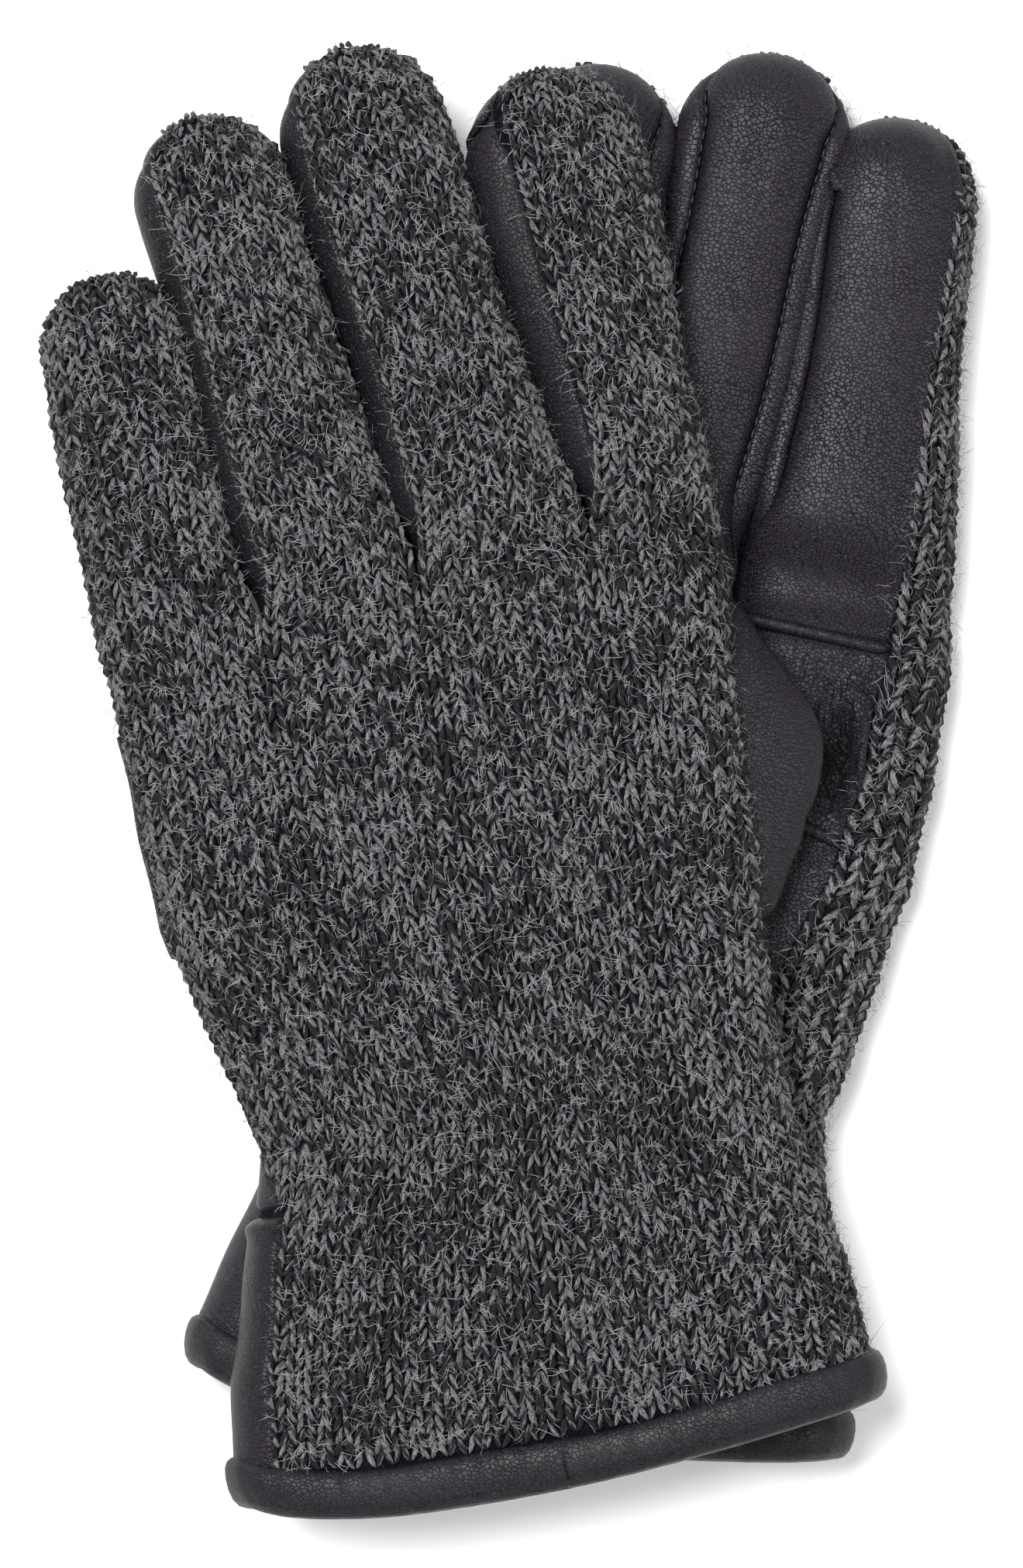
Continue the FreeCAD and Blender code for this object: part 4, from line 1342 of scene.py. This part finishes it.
def thread_finish():
    thread = Finish("dark_thread")
    twist = thread.noise(thread.place(), 4200.0, 2.0)
    shade = thread.between(twist, 0.35, 0.65)
    return thread.surface(Base_Color=thread.colour(tone(5, 5, 7), tone(30, 28, 33), shade),
                          Roughness=0.6, Normal=thread.bump(twist, 0.0001))


finishes["thread"] = thread_finish()


def along_seams(glove, name, seams, pitch=2.3):
    """Points every pitch mm along plan lines, each with its outward direction."""
    places, wales, outs = [], [], []
    for line, out in seams:
        line, out = glove.plan.place(line), np.asarray(out, float)
        run = np.concatenate([[0], np.cumsum(np.linalg.norm(np.diff(line, axis=0), axis=1))])
        spots = np.arange(pitch / 2, run[-1] / MM, pitch) * MM
        point = np.stack([np.interp(spots, run, line[:, k]) for k in range(3)], -1)
        ahead = np.stack([np.interp(spots + 0.0005, run, line[:, k]) for k in range(3)], -1) - point
        places.append(point)
        wales.append(ahead / np.maximum(np.linalg.norm(ahead, axis=1, keepdims=True), 1e-9))
        outs.append(np.broadcast_to(out, point.shape))
    mesh = bpy.data.meshes.new(name)
    points = np.concatenate(places)
    mesh.from_pydata(points.tolist(), [], [])
    give(mesh, "wale", np.concatenate(wales))
    give(mesh, "out", np.concatenate(outs))
    give(mesh, "size", np.ones_like(points))
    return linked(name, mesh)


THREAD_DEPTH = 1.0               # how far the thread lies below the surface of the front


def front_seams(glove):
    """The seam lines of the finger fronts, with the direction out of the palm."""
    palm = (0, 0, -1.0 if glove.plan.turned else 1.0)
    lines = []
    for name in FINGERS:
        root, _, _, length = glove.lines[name]
        for hand in (-1, 1):
            if (name, hand) == ("little", -1) or name == "index":
                continue
            rows = np.linspace(root[1] + 10, root[1] + length, 60)
            straight = glove.strip(name, 0.0 if hand < 0 else 1.0, rows, -1, -THREAD_DEPTH)
            turns = tip_turns(hand, 1.2)
            edge = glove.dome_reach(name, turns, -1)
            tip = glove.finger_ray(name, np.full(14, length), np.cos(turns), np.sin(turns), edge,
                                   -1, -THREAD_DEPTH)
            lines.append((np.concatenate([straight, tip[1:]]), palm))
    return lines


thread_piece = thread_mesh()
for side, glove in gloves.items():
    thing = along_seams(glove, side + "_front_stitches", front_seams(glove))
    leathers[side, "thread"] = bake_nodes(thing, placing, placing_ids, Piece=thread_piece,
                                          Finish=finishes["thread"])
bpy.data.objects.remove(thread_piece)

# %% [markdown]
# ## Wool fibres
# Ragg wool is hairy.  Thousands of short curved fibres lie over the stitches, and a few long ones
# stray further.  The tree scatters points on the ground of the knitting, and puts on each one a
# fibre, turned at random about the surface's own normal.


# %% Fibres
def fibre_mesh(name, bend, rise, seed):
    """A thin curved ribbon of length 1 mm along X."""
    rng = np.random.default_rng(seed)
    part = np.linspace(0, 1, 5)
    line = np.stack([part, bend * part * (1 - part) * 4 + 0.02 * rng.normal(size=5),
                     rise * np.sin(part * math.pi * 0.8) + 0.015 * rng.normal(size=5)], -1)
    girth = 0.032 * np.array([1, 1, 0.9, 0.75, 0.3])
    verts = [tuple((spot + (0, edge * wide, 0)) * MM)
             for spot, wide in zip(line, girth) for edge in (-1, 1)]
    mesh = bpy.data.meshes.new(name)
    mesh.from_pydata(verts, [], [(2 * k, 2 * k + 2, 2 * k + 3, 2 * k + 1) for k in range(4)])
    mesh.shade_smooth()
    return bpy.data.objects.new(name, mesh)


def fibre_tree(name):
    tree, start, ids = new_tree(name, Fibres="Collection", Density="Float", Shortest="Float",
                                Longest="Float", Girth="Float", Seed="Int", Finish="Material")
    given = start.outputs
    kinds = add_node(tree, "GeometryNodeCollectionInfo", Collection=given["Fibres"],
                     Separate_Children=True, Reset_Children=True)
    spread = add_node(tree, "GeometryNodeDistributePointsOnFaces", Mesh=given["Geometry"],
                      Density=given["Density"], Seed=given["Seed"])
    spin = add_node(tree, "FunctionNodeRandomValue", {"data_type": "FLOAT_VECTOR"},
                    Min=(-0.25, -0.2, 0.0), Max=(0.25, 0.1, 6.283), Seed=given["Seed"])
    euler = add_node(tree, "FunctionNodeEulerToRotation", Euler=spin.outputs["Value"])
    turn = add_node(tree, "FunctionNodeRotateRotation", {"rotation_space": "LOCAL"},
                    Rotation=spread.outputs["Rotation"], Rotate_By=euler.outputs[0])
    length = add_node(tree, "FunctionNodeRandomValue", {"data_type": "FLOAT"},
                      _2=given["Shortest"], _3=given["Longest"], Seed=given["Seed"])
    size = add_node(tree, "ShaderNodeCombineXYZ", _0=length.outputs[1], _1=given["Girth"],
                    _2=given["Girth"])
    copies = add_node(tree, "GeometryNodeInstanceOnPoints", Points=spread.outputs["Points"],
                      Instance=kinds.outputs[0], Pick_Instance=True, Rotation=turn.outputs[0],
                      Scale=size.outputs[0])
    close_tree(tree, copies, start.outputs["Finish"])
    return tree, ids


def fibre_finish():
    fibre = Finish("wool_fibre")
    shade = fibre.between(fibre.noise(fibre.place(), 500.0, 1.0), 0.4, 0.6)
    return fibre.surface(Base_Color=fibre.colour(tone(20, 18, 24), tone(128, 125, 129), shade),
                         Roughness=0.7, Specular_IOR_Level=0.3)


def scatter_base(glove, name):
    """The knitting's own surface, lifted to the height of its stitches, to scatter fibres on."""
    sheet = Patchwork(name, glove.side)
    for finger in FINGERS:
        low, high = -1 if finger == "little" else -0.9, 1 if finger == "index" else 0.9
        places = np.interp(columns(6, 6), (-1, 0, 1), (low, 0, high))
        rows = strip_rows(glove, finger, 6.0, 4.0)
        points = strip_sheet(glove, finger, 1, rows, places, FIBRE_LIFT)
        middle = points[:-1, :-1] * 0.5 + points[1:, 1:] * 0.5
        u, v = middle[..., 0], middle[..., 1]
        bare = (v < TAB_TOP) & (u < glove.edges(v)[0] + panel_width(v))
        sheet.grid(points, keep=~bare, flip=True)
        sheet.grid(dome_sheet(glove, finger, 1, np.linspace(0, math.pi, 19), columns(6, 6)[6:],
                              FIBRE_LIFT))
    return sheet.build()


FIBRE_SHAPES = ((0.2, 0.12), (-0.35, 0.2), (0.12, 0.3), (-0.5, 0.15), (0.6, 0.25))    # bend, rise
# name of the piece: fibres for each square metre, shortest and longest in mm, seed
GROWTHS = {"fuzz": (640000.0, 1.8, 5.6, 3), "long_fibres": (14000.0, 5.0, 10.0, 5)}
fibres = bpy.data.collections.new("fibres")
for number, (bend, rise) in enumerate(FIBRE_SHAPES):
    fibres.objects.link(fibre_mesh(f"fibre_{number}", bend, rise, number))
finishes["fibre"] = fibre_finish()
growing, growing_ids = fibre_tree("grow_fibres")
for side, glove in gloves.items():
    for part, (density, short, long, seed) in GROWTHS.items():
        thing = scatter_base(glove, f"{side}_{part}")
        knits[side, part] = bake_nodes(thing, growing, growing_ids, Fibres=fibres, Density=density,
                                       Shortest=short, Longest=long, Girth=1.25, Seed=seed,
                                       Finish=finishes["fibre"])
        print(side, part, len(thing.data.polygons), "faces")

# %% [markdown]
# ## Floor, light and camera
# The gloves lie on a plain pale floor under a large soft light, with the camera straight above.

# %% Stage
def area_light(name, place, aim, size, power):
    light = bpy.data.lights.new(name, "AREA")
    light.shape, light.size, light.energy = "DISK", size, power
    thing = linked(name, light)
    thing.location = place
    thing.rotation_euler = (Vector(aim) - Vector(place)).to_track_quat("-Z", "Y").to_euler()


floor_finish = Finish("floor_paper")
floor_finish.surface(Base_Color=tone(250, 250, 250), Roughness=0.9)
floor_mesh = bpy.data.meshes.new("floor")
floor_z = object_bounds()[0].z - 0.2 * MM
corners = [(x, y, floor_z) for x, y in ((-3, -3), (3, -3), (3, 3), (-3, 3))]
floor_mesh.from_pydata(corners, [], [(0, 1, 2, 3)])
floor_mesh.materials.append(floor_finish.material)
floor = linked("floor", floor_mesh)
area_light("key_light", (-0.42, 0.38, 1.55), (0, 0, 0), 0.75, 44)
area_light("fill_light", (0.95, -0.3, 1.2), (0, 0, 0), 1.0, 10)
world = bpy.data.worlds.new("studio")
bpy.context.scene.world = world
world.use_nodes = True
world.node_tree.nodes["Background"].inputs["Color"].default_value = (1, 1, 1, 1)
world.node_tree.nodes["Background"].inputs["Strength"].default_value = 0.42
bpy.context.scene.view_settings.view_transform = "Standard"

lens = bpy.data.cameras.new("camera")
lens.sensor_fit, lens.sensor_width = "AUTO", 36.0
camera_height, view_length, view_middle = 1.25, 0.2735, (-0.0009, -0.0011)
lens.lens = 36.0 * camera_height / view_length
camera = linked("camera", lens)
camera.location = (*view_middle, STACK * MM / 2 + camera_height)
bpy.context.scene.camera = camera

# %% [markdown]
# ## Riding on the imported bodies
# Each piece moves with the body it belongs to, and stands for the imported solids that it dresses.

# %% Ride and replace
STANDS_FOR = {
    "knit_hand": "knit_back", "palm": "leather_palm", "index": "index_front",
    "little": "fourchette_little_ring", "ring": "fourchette_ring_middle",
    "middle": "fourchette_middle_index", "band": "cuff_binding", "panel": "cuff_panel",
    "patch": "palm_patch", "gusset": "thumb_gusset", "index_welt": "index_welt",
    "gusset_welt": "gusset_welt", "lining": "hand_lining", "elastic": "wrist_elastic",
    "thumb_front": "thumb_front", "thumb_back": "thumb_back", "thumb_lining_front": "thumb_lining",
}
SLOTS = {"knit": ("knit_hand", "knit_fingers", "fuzz", "long_fibres", "ground"),
         "touch_leather": ("index", "thumb_front"), "piping": ("index_welt", "gusset_welt"),
         "binding": ("band",), "lining": ("lining", "thumb_lining_front", "thumb_lining_back"),
         "elastic": ("elastic",)}
slot_of = {part: slot for slot, parts in SLOTS.items() for part in parts}
everything = {**knits, **leathers, **thumbs,
              **{(side, "ground"): thing for side, thing in grounds.items()}}
for (side, part), thing in everything.items():
    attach(thing, f"{side}_thumb" if part.startswith("thumb") else f"{side}_glove")
    slot_of.get(part, "leather")
    if part in STANDS_FOR:
        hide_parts(f"{side}_{STANDS_FOR[part]}")
print("pieces:", len(everything))
